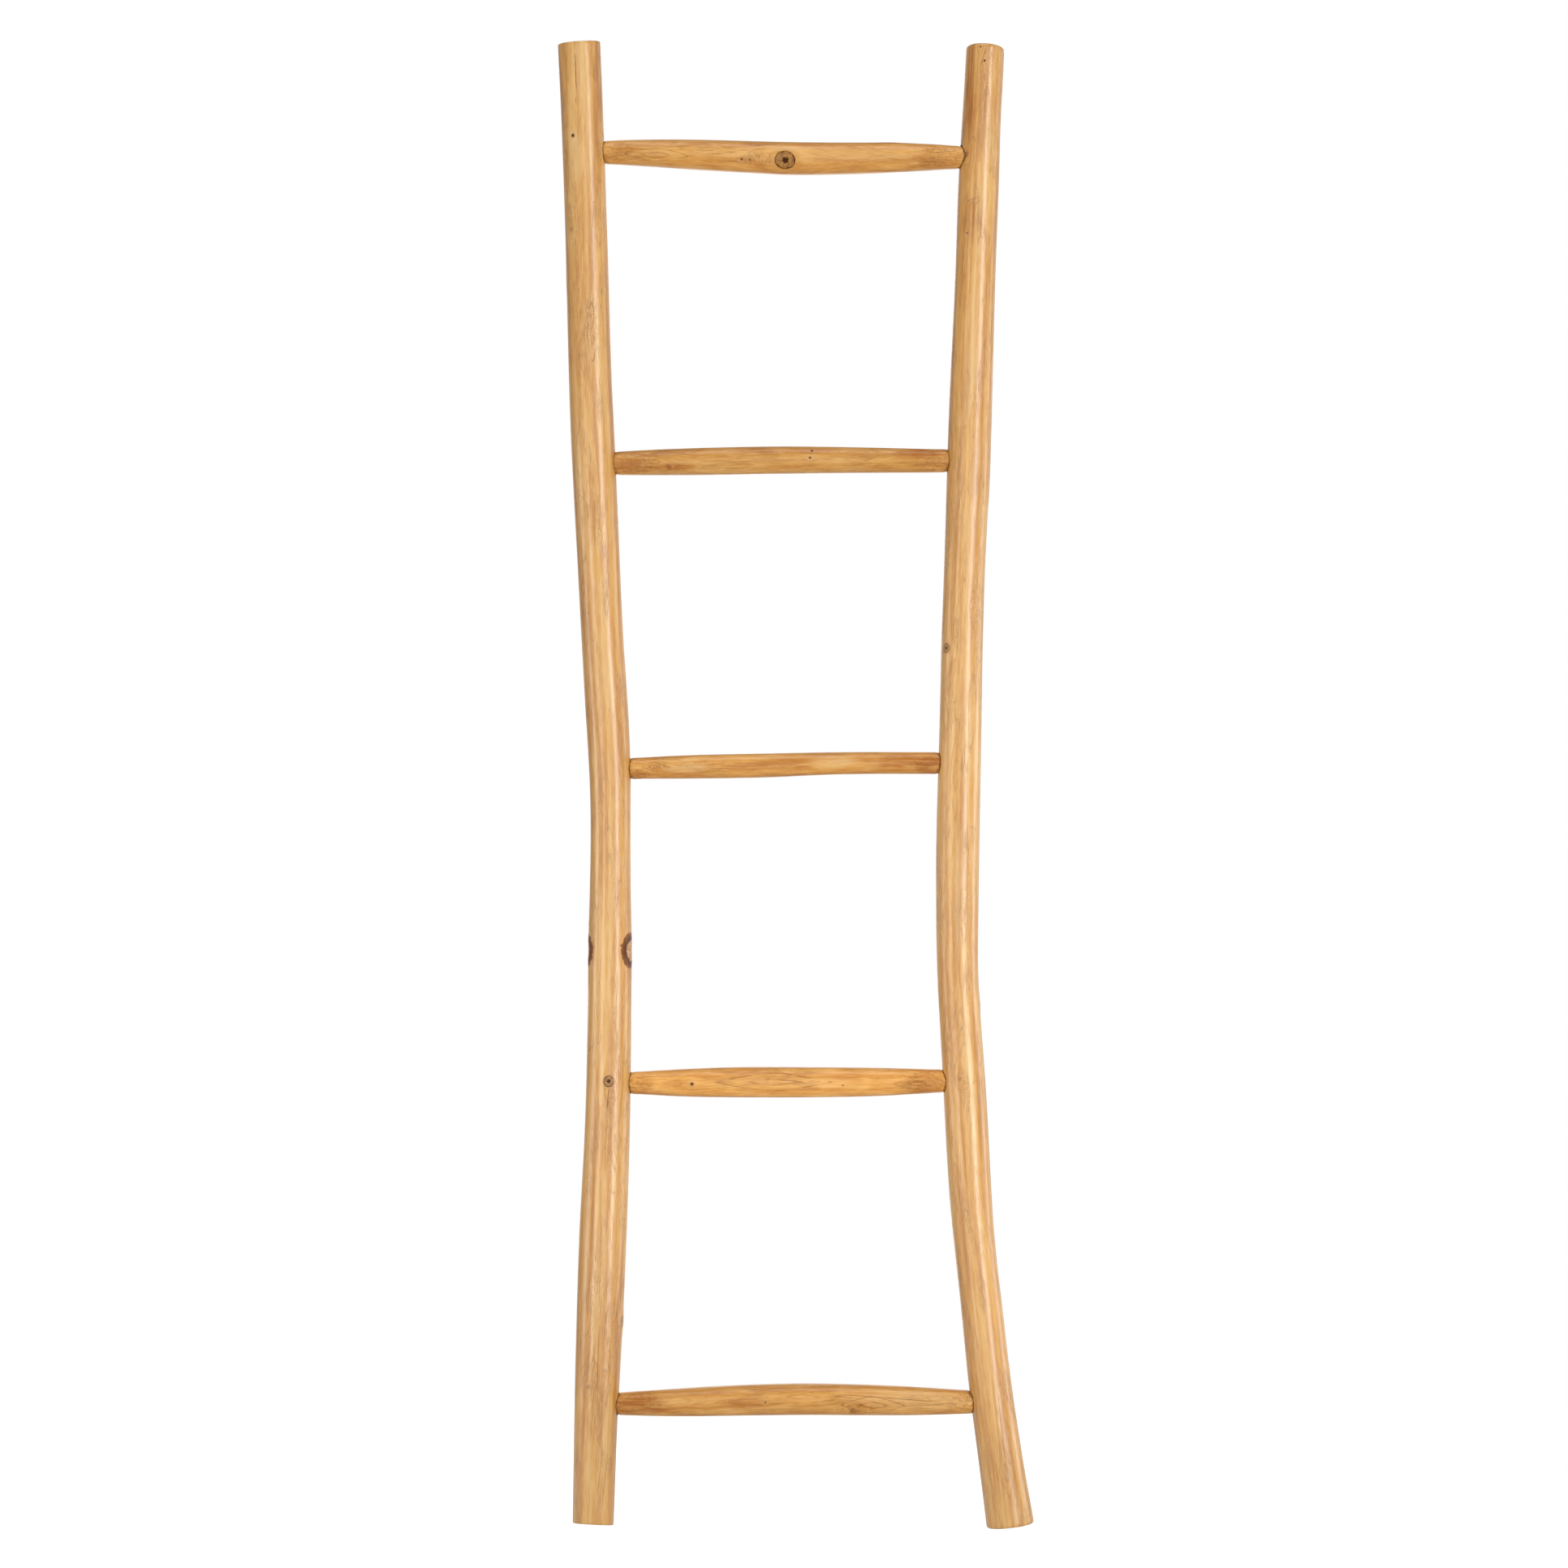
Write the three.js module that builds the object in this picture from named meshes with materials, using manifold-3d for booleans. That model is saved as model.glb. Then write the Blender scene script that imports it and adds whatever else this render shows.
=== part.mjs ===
// A leaning towel rack in the form of a ladder. Two crooked peeled teak branches are the posts, and five
// thinner branches are the rungs. Each rung end is a round tenon in a blind socket in the inner side of a
// post, pinned by a steel brad driven in from the back.
//
// Millimetres. +Z runs up the ladder, +X to the right, and -Y is the front. The origin is the middle of
// the ladder's box, at floor level.

import * as THREE from 'three';
import { mergeVertices } from 'three/addons/utils/BufferGeometryUtils.js';
import Module from 'manifold-3d';

// ---------------------------------------------------------------------------------------------------
// Driving dimensions

const HEIGHT = 1503; // of the left post, the taller one
const GAP = 0.3; // clearance all round each tenon and each brad

// Posts. Each station is [height, centre across, width]. Each depth station is [height, centre in depth].
const POST_SIDES = 20;
const POST_RINGS = 40;
const END_FADE = 70; // the slant of a saw cut has died away this far from the cut

const LEFT_POST = {
  height: HEIGHT,
  stations: [
    [0, -203.5, 41.5],
    [105, -200.8, 43.6],
    [200, -197, 46.8],
    [300, -193.3, 48.2],
    [400, -189.2, 45.8],
    [500, -187.2, 44.2],
    [620, -186.6, 42.2],
    [720, -186.2, 40.6],
    [770, -187, 42.3],
    [820, -189.5, 43.5],
    [900, -194.4, 42.7],
    [1030, -200.8, 44],
    [1090, -203.6, 44.5],
    [1150, -206.3, 43.1],
    [1300, -210.4, 42.3],
    [1410, -214, 42.3],
    [HEIGHT, -217.8, 42.7],
  ],
  depth: [
    [0, -5],
    [300, -4],
    [620, 3],
    [1090, -2],
    [HEIGHT, 2],
  ],
  // Slants of the saw cuts: rise per unit to the right, and rise per unit to the back.
  footSlant: [-0.054, -0.163],
  topSlant: [0.074, 0.087],
  footRound: 1.2,
  topRound: 1.8,
};

const RIGHT_POST = {
  height: HEIGHT - 5.5,
  stations: [
    [0, 217, 46.3],
    [60, 209, 45.2],
    [150, 196.5, 43.6],
    [230, 188, 42.2],
    [280, 182.3, 41.6],
    [330, 178, 43],
    [390, 174.6, 43.4],
    [450, 171.5, 42.8],
    [510, 167.5, 41.2],
    [550, 165, 41],
    [620, 164.3, 42.8],
    [700, 165, 43.8],
    [800, 167.5, 42.8],
    [900, 169.5, 42.2],
    [1000, 173, 42.2],
    [1050, 175.3, 44],
    [1110, 177.2, 43.8],
    [1200, 180.5, 41.8],
    [1270, 183, 40.6],
    [1370, 186.5, 41.4],
    [1410, 188.2, 39.5],
    [1460, 191, 38.9],
    [HEIGHT, 193, 38],
  ],
  depth: [
    [0, -9.5],
    [280, -4],
    [550, -3],
    [1050, 2],
    [HEIGHT, -1],
  ],
  footSlant: [0.128, -0.062],
  topSlant: [-0.08, -0.11],
  footRound: 2.4,
  topRound: 3,
};

// Rungs, from the top down. Each station is [place across, height, diameter]. The tenons begin at the
// first and the last station and keep the height and the diameter they have there. sweep is how far the
// middle of the rung stands forward (-) or back (+) of the line between its tenons. setBack is how far
// its left and its right tenon are behind the middle of their posts.
const RUNG_SIDES = 16;
const RUNG_RINGS = 12;
const RUNG_END_ROUND = 1;
const TENON_LENGTH = 25.5;
const SOCKET_DEPTH = 26; // from where the tenon begins

const RUNGS = [
  {
    name: 'rung_1_top',
    stations: [
      [-189, 1390.2, 23.4],
      [-150, 1389.4, 26.8],
      [-100, 1387.4, 30.4],
      [-40, 1384.6, 32.2],
      [0, 1383.1, 33],
      [50, 1383.2, 31.9],
      [110, 1384.2, 29.2],
      [164, 1384.4, 23],
    ],
    sweep: -2,
    setBack: [3.5, -1],
  },
  {
    name: 'rung_2',
    stations: [
      [-178, 1075.3, 23.6],
      [-120, 1076.8, 26.7],
      [-20, 1079, 27.5],
      [50, 1079.2, 26.2],
      [152, 1078.2, 23.4],
    ],
    sweep: 2,
    setBack: [2.5, 2.5],
  },
  {
    name: 'rung_3',
    stations: [
      [-163, 766.7, 21.7],
      [-110, 768.2, 24.1],
      [-40, 769.5, 24.5],
      [50, 772, 22.4],
      [142, 772.1, 22.2],
    ],
    sweep: 1,
    setBack: [3.5, 2],
  },
  {
    name: 'rung_4',
    stations: [
      [-162, 448.6, 22.6],
      [-110, 448.9, 28.5],
      [-60, 449.6, 30.8],
      [20, 449.7, 30.5],
      [80, 450, 29],
      [147, 450.9, 23.3],
    ],
    sweep: -1,
    setBack: [2.5, 1.5],
  },
  {
    name: 'rung_5_bottom',
    stations: [
      [-175, 124.8, 22.9],
      [-120, 126, 27.8],
      [-50, 128.3, 31.1],
      [10, 129.3, 31.8],
      [70, 128.8, 31],
      [120, 127.8, 28.8],
      [173, 126.9, 23.8],
    ],
    sweep: 2,
    setBack: [2, 2],
  },
];

// Brads, driven from the back through the post and into the middle of each tenon.
const BRAD = {
  sides: 8,
  shankRadius: 0.8,
  headRadius: 1.5,
  headDepth: 0.9,
  pointLength: 2.5,
  inset: 14, // from where the tenon begins, into the post
  sunk: 0.6, // head below the back of the post
  pastMiddle: 5, // the point ends this far in front of the tenon's middle
};
const CUT_OVERSHOOT = 6; // a cutter runs this far past the surface it opens

// ---------------------------------------------------------------------------------------------------
// Materials

const teak = new THREE.MeshStandardMaterial({ color: '#d6a564', roughness: 0.45, metalness: 0 });
const rungTeak = new THREE.MeshStandardMaterial({ color: '#c68f4e', roughness: 0.45, metalness: 0 });
const steel = new THREE.MeshStandardMaterial({ color: '#a9a9a6', roughness: 0.35, metalness: 1 });

// ---------------------------------------------------------------------------------------------------
// Curves

/** A smooth function through rows of [place, value, value...]. Past the ends it keeps the end values. */
function smoothThrough(rows) {
  const places = rows.map((row) => row[0]);
  const values = rows.flatMap((row) => row.slice(1));
  const interpolant = new THREE.CubicInterpolant(places, values, rows[0].length - 1);
  return (place) => Array.from(interpolant.evaluate(place));
}

/** Where a post's centre is, and how thick the post is, at a height. */
function postShape(post) {
  const outline = smoothThrough(post.stations);
  const crook = smoothThrough(post.depth);
  return (height) => {
    const [across, width] = outline(height);
    const [depth] = crook(height);
    return { across, depth, radius: width / 2 };
  };
}

/** A quarter round of a rim, from the flat of the end to the side, as [radius, place] pairs. */
function roundedRim(radius, round, steps = 3) {
  const rim = [];
  for (let i = 0; i <= steps; i += 1) {
    const angle = (i / steps) * (Math.PI / 2);
    rim.push(new THREE.Vector2(radius - round + round * Math.sin(angle), round - round * Math.cos(angle)));
  }
  return rim;
}

// ---------------------------------------------------------------------------------------------------
// Turned bodies: a straight round body is bent along its centre line

/** A straight turned body along +Y from 0 to length, with rounded rims and a radius that varies. */
function turnedBody({ length, radiusAt, startRound, endRound, rings, sides }) {
  const profile = [new THREE.Vector2(0, 0), ...roundedRim(radiusAt(0), startRound)];
  for (let i = 1; i < rings; i += 1) {
    const place = (i / rings) * length;
    profile.push(new THREE.Vector2(radiusAt(place), place));
  }
  for (const corner of roundedRim(radiusAt(length), endRound).reverse()) {
    profile.push(new THREE.Vector2(corner.x, length - corner.y));
  }
  profile.push(new THREE.Vector2(0, length));
  return new THREE.LatheGeometry(profile, sides);
}

/** Moves every vertex of a geometry by a rule. */
function moveVertices(geometry, rule) {
  const position = geometry.getAttribute('position');
  const vertex = new THREE.Vector3();
  for (let i = 0; i < position.count; i += 1) {
    vertex.fromBufferAttribute(position, i);
    rule(vertex);
    position.setXYZ(i, vertex.x, vertex.y, vertex.z);
  }
  return geometry;
}

/** A post as one solid body before its sockets are bored. */
function postBody(post) {
  const shapeAt = postShape(post);
  const geometry = turnedBody({
    length: post.height,
    radiusAt: (height) => shapeAt(height).radius,
    startRound: post.footRound,
    endRound: post.topRound,
    rings: POST_RINGS,
    sides: POST_SIDES,
  });
  geometry.rotateX(Math.PI / 2);
  const footRadius = shapeAt(0).radius - post.footRound;
  const topRadius = shapeAt(post.height).radius - post.topRound;
  return moveVertices(geometry, (vertex) => {
    const height = vertex.z;
    const nearFoot = THREE.MathUtils.smoothstep(END_FADE - height, 0, END_FADE);
    const nearTop = THREE.MathUtils.smoothstep(height - (post.height - END_FADE), 0, END_FADE);
    vertex.z += nearFoot * (slantAt(post.footSlant, vertex) + footRadius * Math.hypot(...post.footSlant));
    vertex.z += nearTop * (slantAt(post.topSlant, vertex) - topRadius * Math.hypot(...post.topSlant));
    const { across, depth } = shapeAt(height);
    vertex.x += across;
    vertex.y += depth;
  });
}

/** How far a slanted saw cut rises at a place measured from the post's own centre. */
function slantAt([toRight, toBack], vertex) {
  return toRight * vertex.x + toBack * vertex.y;
}

/** The line that a rung follows, and its tenons. */
function rungShape(rung) {
  const outline = smoothThrough(rung.stations);
  const left = tenon(rung.stations[0], leftShape, rung.setBack[0], -1);
  const right = tenon(rung.stations.at(-1), rightShape, rung.setBack[1], 1);
  const centreAt = (across) => {
    const share = THREE.MathUtils.clamp((across - left.start) / (right.start - left.start), 0, 1);
    const [height, diameter] = outline(THREE.MathUtils.clamp(across, left.start, right.start));
    const bow = rung.sweep * Math.sin(Math.PI * share) ** 2;
    return { height, depth: THREE.MathUtils.lerp(left.depth, right.depth, share) + bow, radius: diameter / 2 };
  };
  return { left, right, centreAt };
}

/** A tenon begins at a rung's end station and runs outwards into its post, setBack behind its middle. */
function tenon([start, height, diameter], shapeAt, setBack, outwards) {
  const depth = shapeAt(height).depth + setBack;
  return { start, height, radius: diameter / 2, depth, outwards, shapeAt };
}

/** A rung with both its tenons, before the brad holes. */
function rungBody(shape) {
  const from = shape.left.start - TENON_LENGTH;
  const to = shape.right.start + TENON_LENGTH;
  const geometry = turnedBody({
    length: to - from,
    radiusAt: (place) => shape.centreAt(from + place).radius,
    startRound: RUNG_END_ROUND,
    endRound: RUNG_END_ROUND,
    rings: RUNG_RINGS + 2,
    sides: RUNG_SIDES,
  });
  geometry.rotateZ(-Math.PI / 2);
  return moveVertices(geometry, (vertex) => {
    const across = from + vertex.x;
    const { height, depth } = shape.centreAt(across);
    vertex.set(across, vertex.y + depth, vertex.z + height);
  });
}

// ---------------------------------------------------------------------------------------------------
// Sockets and brads

/** The cylinder that bores a tenon's blind socket. */
function socketCutter(end) {
  const length = SOCKET_DEPTH + CUT_OVERSHOOT;
  const radius = end.radius + GAP;
  const geometry = new THREE.CylinderGeometry(radius, radius, length, RUNG_SIDES);
  geometry.rotateZ(-Math.PI / 2);
  const middle = end.start + end.outwards * (SOCKET_DEPTH - length / 2);
  return geometry.translate(middle, end.depth, end.height);
}

/** Where a tenon's brad goes: its place across, and where its head and its point are in depth. */
function bradPlace(end) {
  const across = end.start + end.outwards * BRAD.inset;
  const post = end.shapeAt(end.height);
  const back = post.depth + Math.sqrt(post.radius ** 2 - (across - post.across) ** 2);
  return { across, height: end.height, head: back - BRAD.sunk, point: end.depth - BRAD.pastMiddle };
}

/** A brad, or the hole it sits in when gap is the clearance and overshoot opens it to the outside. */
function bradBody(place, gap = 0, overshoot = 0) {
  const length = place.head - place.point + gap;
  const shank = BRAD.shankRadius + gap;
  const head = BRAD.headRadius + gap;
  const underHead = length - BRAD.headDepth - gap;
  const profile = [
    new THREE.Vector2(0, 0),
    new THREE.Vector2(shank, BRAD.pointLength),
    new THREE.Vector2(shank, underHead),
    new THREE.Vector2(head, underHead + gap / 2),
    new THREE.Vector2(head, length + overshoot),
    new THREE.Vector2(0, length + overshoot),
  ];
  const geometry = new THREE.LatheGeometry(profile, BRAD.sides);
  return geometry.translate(place.across, place.point - gap, place.height);
}

// ---------------------------------------------------------------------------------------------------
// Cuts

const wasm = await Module();
wasm.setup();

/** A closed geometry as a solid that can be cut. */
function asSolid(geometry) {
  const bare = geometry.clone();
  bare.deleteAttribute('normal');
  bare.deleteAttribute('uv');
  const merged = mergeVertices(bare);
  const corners = merged.getIndex().array;
  const triangles = [];
  for (let i = 0; i < corners.length; i += 3) {
    const [a, b, c] = corners.slice(i, i + 3);
    if (a !== b && b !== c && c !== a) triangles.push(a, b, c);
  }
  const vertProperties = new Float32Array(merged.getAttribute('position').array);
  const triVerts = new Uint32Array(triangles);
  return new wasm.Manifold(new wasm.Mesh({ numProp: 3, vertProperties, triVerts }));
}

/** A geometry with every cutter taken out of it. */
function cut(geometry, cutters) {
  let solid = asSolid(geometry);
  for (const cutter of cutters) {
    solid = solid.subtract(asSolid(cutter));
  }
  const mesh = solid.getMesh();
  const result = new THREE.BufferGeometry();
  result.setAttribute('position', new THREE.BufferAttribute(new Float32Array(mesh.vertProperties), 3));
  result.setIndex(new THREE.BufferAttribute(new Uint32Array(mesh.triVerts), 1));
  result.computeVertexNormals();
  return result;
}

// ---------------------------------------------------------------------------------------------------
// Assembly

const leftShape = postShape(LEFT_POST);
const rightShape = postShape(RIGHT_POST);
const ladder = new THREE.Group();

function addPiece(name, geometry, material) {
  const piece = new THREE.Mesh(geometry, material);
  piece.name = name;
  ladder.add(piece);
}

const rungShapes = RUNGS.map(rungShape);
const bradHole = (end) => bradBody(bradPlace(end), GAP, CUT_OVERSHOOT);

for (const [name, post, side] of [['left_post', LEFT_POST, 'left'], ['right_post', RIGHT_POST, 'right']]) {
  const ends = rungShapes.map((shape) => shape[side]);
  addPiece(name, cut(postBody(post), [...ends.map(socketCutter), ...ends.map(bradHole)]), teak);
}

rungShapes.forEach((shape, index) => {
  const holes = [bradHole(shape.left), bradHole(shape.right)];
  addPiece(RUNGS[index].name, cut(rungBody(shape), holes), rungTeak);
  addPiece(`brad_${index + 1}_left`, bradBody(bradPlace(shape.left)), steel);
  addPiece(`brad_${index + 1}_right`, bradBody(bradPlace(shape.right)), steel);
});

// The origin is the middle of the ladder's box, at floor level.
const box = new THREE.Box3().setFromObject(ladder);
const middle = box.getCenter(new THREE.Vector3());
ladder.position.set(-middle.x, -middle.y, -box.min.z);

export default ladder;
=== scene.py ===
"""A leaning towel ladder made of peeled teak branches.

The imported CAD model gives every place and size. This script replaces its plain posts and rungs with
branches that have the relief, knots, drying checks and saw cuts of the real wood, gives each wooden piece
and each steel brad its material, and lights them softly.

Across a branch, an angle of 0 faces the front (-Y). On a post the angle grows towards +X, and on a rung
it grows towards +Z. Lengths are in metres unless a name says otherwise.
"""

import bmesh
import bpy
import numpy as np
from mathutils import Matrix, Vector


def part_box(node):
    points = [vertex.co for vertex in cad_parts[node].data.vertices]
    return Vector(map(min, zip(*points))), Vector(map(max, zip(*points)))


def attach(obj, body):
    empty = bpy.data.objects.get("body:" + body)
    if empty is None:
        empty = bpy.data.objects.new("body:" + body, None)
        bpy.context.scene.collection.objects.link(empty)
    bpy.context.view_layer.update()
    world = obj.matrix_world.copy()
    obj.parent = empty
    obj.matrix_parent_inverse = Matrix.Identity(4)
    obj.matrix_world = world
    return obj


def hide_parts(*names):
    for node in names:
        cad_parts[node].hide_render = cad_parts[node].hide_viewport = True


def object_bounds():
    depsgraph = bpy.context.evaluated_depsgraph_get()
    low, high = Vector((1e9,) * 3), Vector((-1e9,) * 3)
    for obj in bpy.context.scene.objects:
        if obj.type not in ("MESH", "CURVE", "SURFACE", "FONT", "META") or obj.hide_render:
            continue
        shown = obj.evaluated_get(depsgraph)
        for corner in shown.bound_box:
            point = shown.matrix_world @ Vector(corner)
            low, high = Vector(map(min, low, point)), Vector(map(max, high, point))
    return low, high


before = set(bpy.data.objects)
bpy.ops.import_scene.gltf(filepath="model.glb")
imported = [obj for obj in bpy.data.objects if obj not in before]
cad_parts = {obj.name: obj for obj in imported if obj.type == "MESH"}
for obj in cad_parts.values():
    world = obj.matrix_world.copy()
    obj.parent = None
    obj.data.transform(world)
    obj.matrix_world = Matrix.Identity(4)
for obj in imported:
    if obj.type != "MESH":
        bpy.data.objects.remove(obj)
cad_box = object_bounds()

MM = 0.001
FULL_TURN = 2 * np.pi
ACROSS, DEPTH, UP = 0, 1, 2

# ---- What is where on the wood. Places are along the branch in mm: a post's from the floor, a rung's from
# the middle of the ladder. Angles are in degrees, sizes in mm.

# Knots: place, angle, radius, then how far the wood swells round it, how deep its heart is, its look and how
# strong that look is. An "eye" has a dark rim round a tan body with a dark heart, a "hole" is small and dark
# with a faint swirl round it, a "smudge" is a soft dark blotch, and "bark" is dark brown round a torn heart.
LEFT_KNOTS = [
    (1404, -27, 2.1, 0.5, 1.6, "hole", 1.0),
    (1310, -41, 3.0, 0.2, 0.2, "smudge", 0.6),
    (583, -93, 16.5, 0.8, 0.3, "bark", 1.0),
    (583, 76, 17.0, 1.0, 0.6, "bark", 1.0),
    (452, 2, 5.2, 0.6, 1.0, "eye", 1.0),
    (209, 74, 5.5, 0.8, 0.3, "smudge", 1.0),
    (162, 21, 1.8, 0.2, 0.6, "smudge", 0.7),
    (145, -22, 2.2, 0.2, 0.4, "smudge", 0.8),
    (1010, 150, 7.0, 1.0, 1.0, "eye", 0.9),
    (330, -160, 6.0, 0.8, 1.4, "eye", 1.0),
    (760, 118, 5.0, 0.7, 0.8, "hole", 0.8),
    (1260, -128, 6.5, 1.0, 1.0, "eye", 0.9),
]
RIGHT_KNOTS = [
    (1493, -18, 1.1, 0.1, 0.8, "hole", 0.8),
    (1479, -3, 1.4, 0.1, 0.8, "hole", 1.0),
    (1306, -32, 1.2, 0.2, 0.7, "hole", 0.7),
    (1385, -46, 3.0, 0.1, 0.2, "smudge", 1.0),
    (888, -50, 4.4, 0.5, 0.6, "eye", 0.8),
    (455, -14, 2.4, 0.2, 0.3, "smudge", 0.6),
    (1120, 140, 7.5, 1.1, 1.3, "eye", 0.9),
    (690, -145, 6.0, 0.9, 0.9, "eye", 0.9),
    (250, 165, 8.0, 1.2, 1.4, "eye", 1.0),
    (530, 104, 5.5, 0.9, 0.7, "hole", 0.8),
]
RUNG_KNOTS = {
    "rung_1_top": [
        (-10.2, -14, 9.2, 0.5, 0.7, "eye", 1.0),
        (-54, -17, 1.3, 0.1, 0.5, "hole", 0.8),
        (-46, -18, 0.9, 0.0, 0.4, "hole", 0.8),
        (96, 120, 6, 0.7, 1.0, "eye", 0.9),
    ],
    "rung_2": [
        (15, 5, 1.3, 0.1, 0.8, "hole", 0.9),
        (17, 38, 1.4, 0.1, 0.7, "hole", 0.9),
        (-127, -24, 3.2, 0.4, 0.3, "smudge", 0.9),
        (-60, 165, 5, 0.6, 0.9, "eye", 0.9),
    ],
    "rung_3": [(-139, 5, 3.4, 0.3, 0.3, "smudge", 0.6), (60, -150, 4.5, 0.6, 0.8, "eye", 0.9)],
    "rung_4": [
        (-104, -2, 2.0, 0.2, 0.8, "hole", 0.9),
        (48, -9, 0.8, 0.0, 0.4, "hole", 0.8),
        (30, 170, 5.5, 0.7, 1.0, "eye", 0.9),
    ],
    "rung_5_bottom": [
        (58, -34, 4.5, 0.5, 0.4, "smudge", 0.8),
        (-30, -2, 1.1, 0.1, 0.4, "hole", 0.7),
        (-90, 150, 6, 0.7, 1.0, "eye", 0.9),
    ],
}
# How far each look reaches, in knot radii.
LOOKS = {"eye": 2.4, "hole": 3.8, "smudge": 2.4, "bark": 1.6}

# Drying checks and cracks: place and angle of the middle, length along the branch, width, depth, and how
# many mm it drifts sideways over its length.
LEFT_CRACKS = [
    (1467, -11, 46, 0.45, 0.8, 0.4),
    (1404, -20, 60, 0.3, 0.2, 2),
    (434, 1, 24, 0.6, 0.6, 2),
    (428, 5, 14, 0.4, 0.4, -3),
    (160, 2, 110, 0.45, 0.5, -3),
    (120, -8, 70, 0.35, 0.3, 2),
    (60, 18, 60, 0.4, 0.4, 5),
    (40, 30, 45, 0.4, 0.4, 4),
    (28, -18, 36, 0.35, 0.3, -3),
    (900, 175, 260, 0.8, 1.4, 3),
    (480, -60, 40, 0.3, 0.3, 1),
]
RIGHT_CRACKS = [
    (1482, -9, 22, 0.5, 0.5, 7),
    (1340, -18, 5, 0.6, 0.7, 15),
    (451, 26, 4, 0.5, 0.5, 3.5),
    (1250, 42, 60, 0.3, 0.3, 1.5),
    (100, 12, 90, 0.4, 0.3, 4),
    (60, -5, 50, 0.35, 0.3, 2),
    (1280, -170, 220, 0.8, 1.4, -3),
]
RUNG_CRACKS = {
    "rung_1_top": [
        (150, 20, 30, 0.5, 0.5, 3),
        (140, -30, 36, 0.4, 0.4, -3),
        (-150, -28, 60, 0.35, 0.3, 3),
        (-120, 22, 30, 0.4, 0.4, 3),
    ],
    "rung_2": [(90, -20, 60, 0.3, 0.3, 2), (-40, 30, 50, 0.3, 0.3, 1)],
    "rung_3": [(70, 10, 80, 0.3, 0.3, 2), (-60, -15, 60, 0.3, 0.3, -2)],
    "rung_4": [(-28, 12, 3, 0.5, 0.5, 6), (-60, -12, 46, 0.3, 0.3, 6), (110, -20, 40, 0.35, 0.3, 2)],
    "rung_5_bottom": [(90, 18, 120, 0.45, 0.5, -6), (120, -12, 70, 0.4, 0.4, 4), (-20, 30, 60, 0.3, 0.3, 2)],
}
CRACK_REACH = 4  # mm to each side of a crack within which its strength is stored
CRACK_RUN = 1.3  # half lengths from a crack's middle within which its strength is stored
CRACK_FULL_DEPTH = 0.8  # mm, the least depth of a crack drawn at full strength

# Scars where the cambium was torn or planed across the grain: place, angle, half length, half width, depth.
LEFT_SCARS = [(1216, 5, 26, 5, 0.35), (434, 4, 16, 6, 0.1)]
RIGHT_SCARS = [(1338, -20, 5, 9, 0.25), (452, -8, 14, 5, 0.3), (930, 30, 30, 5, 0.15)]
RUNG_SCARS = {
    "rung_1_top": [(-36, -12, 18, 7, 0.35), (148, -4, 32, 14, 0.25), (-178, 0, 14, 12, 0.2)],
    "rung_2": [(-122, -22, 9, 4, 0.3), (-160, -10, 24, 14, 0.25), (140, -8, 20, 14, 0.25)],
    "rung_3": [(-139, 5, 12, 5, 0.2), (-160, -30, 16, 10, 0.25), (138, -12, 20, 12, 0.25)],
    "rung_4": [(134, 0, 26, 14, 0.25), (-158, -20, 14, 12, 0.25)],
    "rung_5_bottom": [(60, -30, 20, 7, 0.3), (-160, 0, 26, 16, 0.25), (172, 8, 18, 12, 0.3)],
}

# Loops, where the surface is shaved along the grain and growth rings show as long ovals: place, angle, half
# length, half width, how strong their lines are, and how golden they are inside.
LEFT_LOOPS = [
    (1206, 11, 32, 5.5, 1.0, 0.4),
    (969, -4, 22, 4.5, 0.15, 0.9),
    (1320, 2, 26, 4, 0.4, 0.3),
    (800, 8, 30, 4, 0.3, 0.6),
    (700, 30, 40, 5, 0.5, 0.2),
    (520, -28, 34, 6, 0.5, 0.3),
    (300, 24, 46, 6, 0.5, 0.4),
    (1100, 170, 50, 8, 0.8, 0.3),
    (600, -150, 60, 8, 0.8, 0.3),
]
RIGHT_LOOPS = [
    (1110, 8, 34, 5, 0.5, 0.4),
    (760, -12, 46, 6, 0.6, 0.3),
    (330, 14, 40, 6, 0.6, 0.3),
    (60, 8, 26, 7, 0.6, 0.2),
    (950, 160, 60, 8, 0.8, 0.3),
    (480, -140, 50, 7, 0.8, 0.3),
]
RUNG_LOOPS = {
    "rung_1_top": [(-88, 16, 30, 6, 0.5, 0.2), (60, 8, 44, 6, 0.3, 0.2), (-140, -14, 34, 7, 0.8, 0.1)],
    "rung_2": [(104, -8, 36, 6, 0.6, 0.3), (-60, 12, 46, 6, 0.3, 0.1), (-142, -4, 16, 7, 0.6, 0.1)],
    "rung_3": [(-142, 5, 13, 4.5, 0.9, 0.2), (128, -4, 15, 5, 1.0, 0.0), (20, 6, 34, 4, 0.3, 0.1)],
    "rung_4": [(-22, 4, 58, 10, 0.9, 0.1), (20, 6, 16, 4, 0.4, 0.0), (122, -6, 24, 6, 0.6, 0.0)],
    "rung_5_bottom": [(8, 16, 40, 7, 0.5, 0.2), (78, -12, 34, 9, 0.9, 0.2), (-128, 4, 34, 7, 0.5, 0.0)],
}

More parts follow.
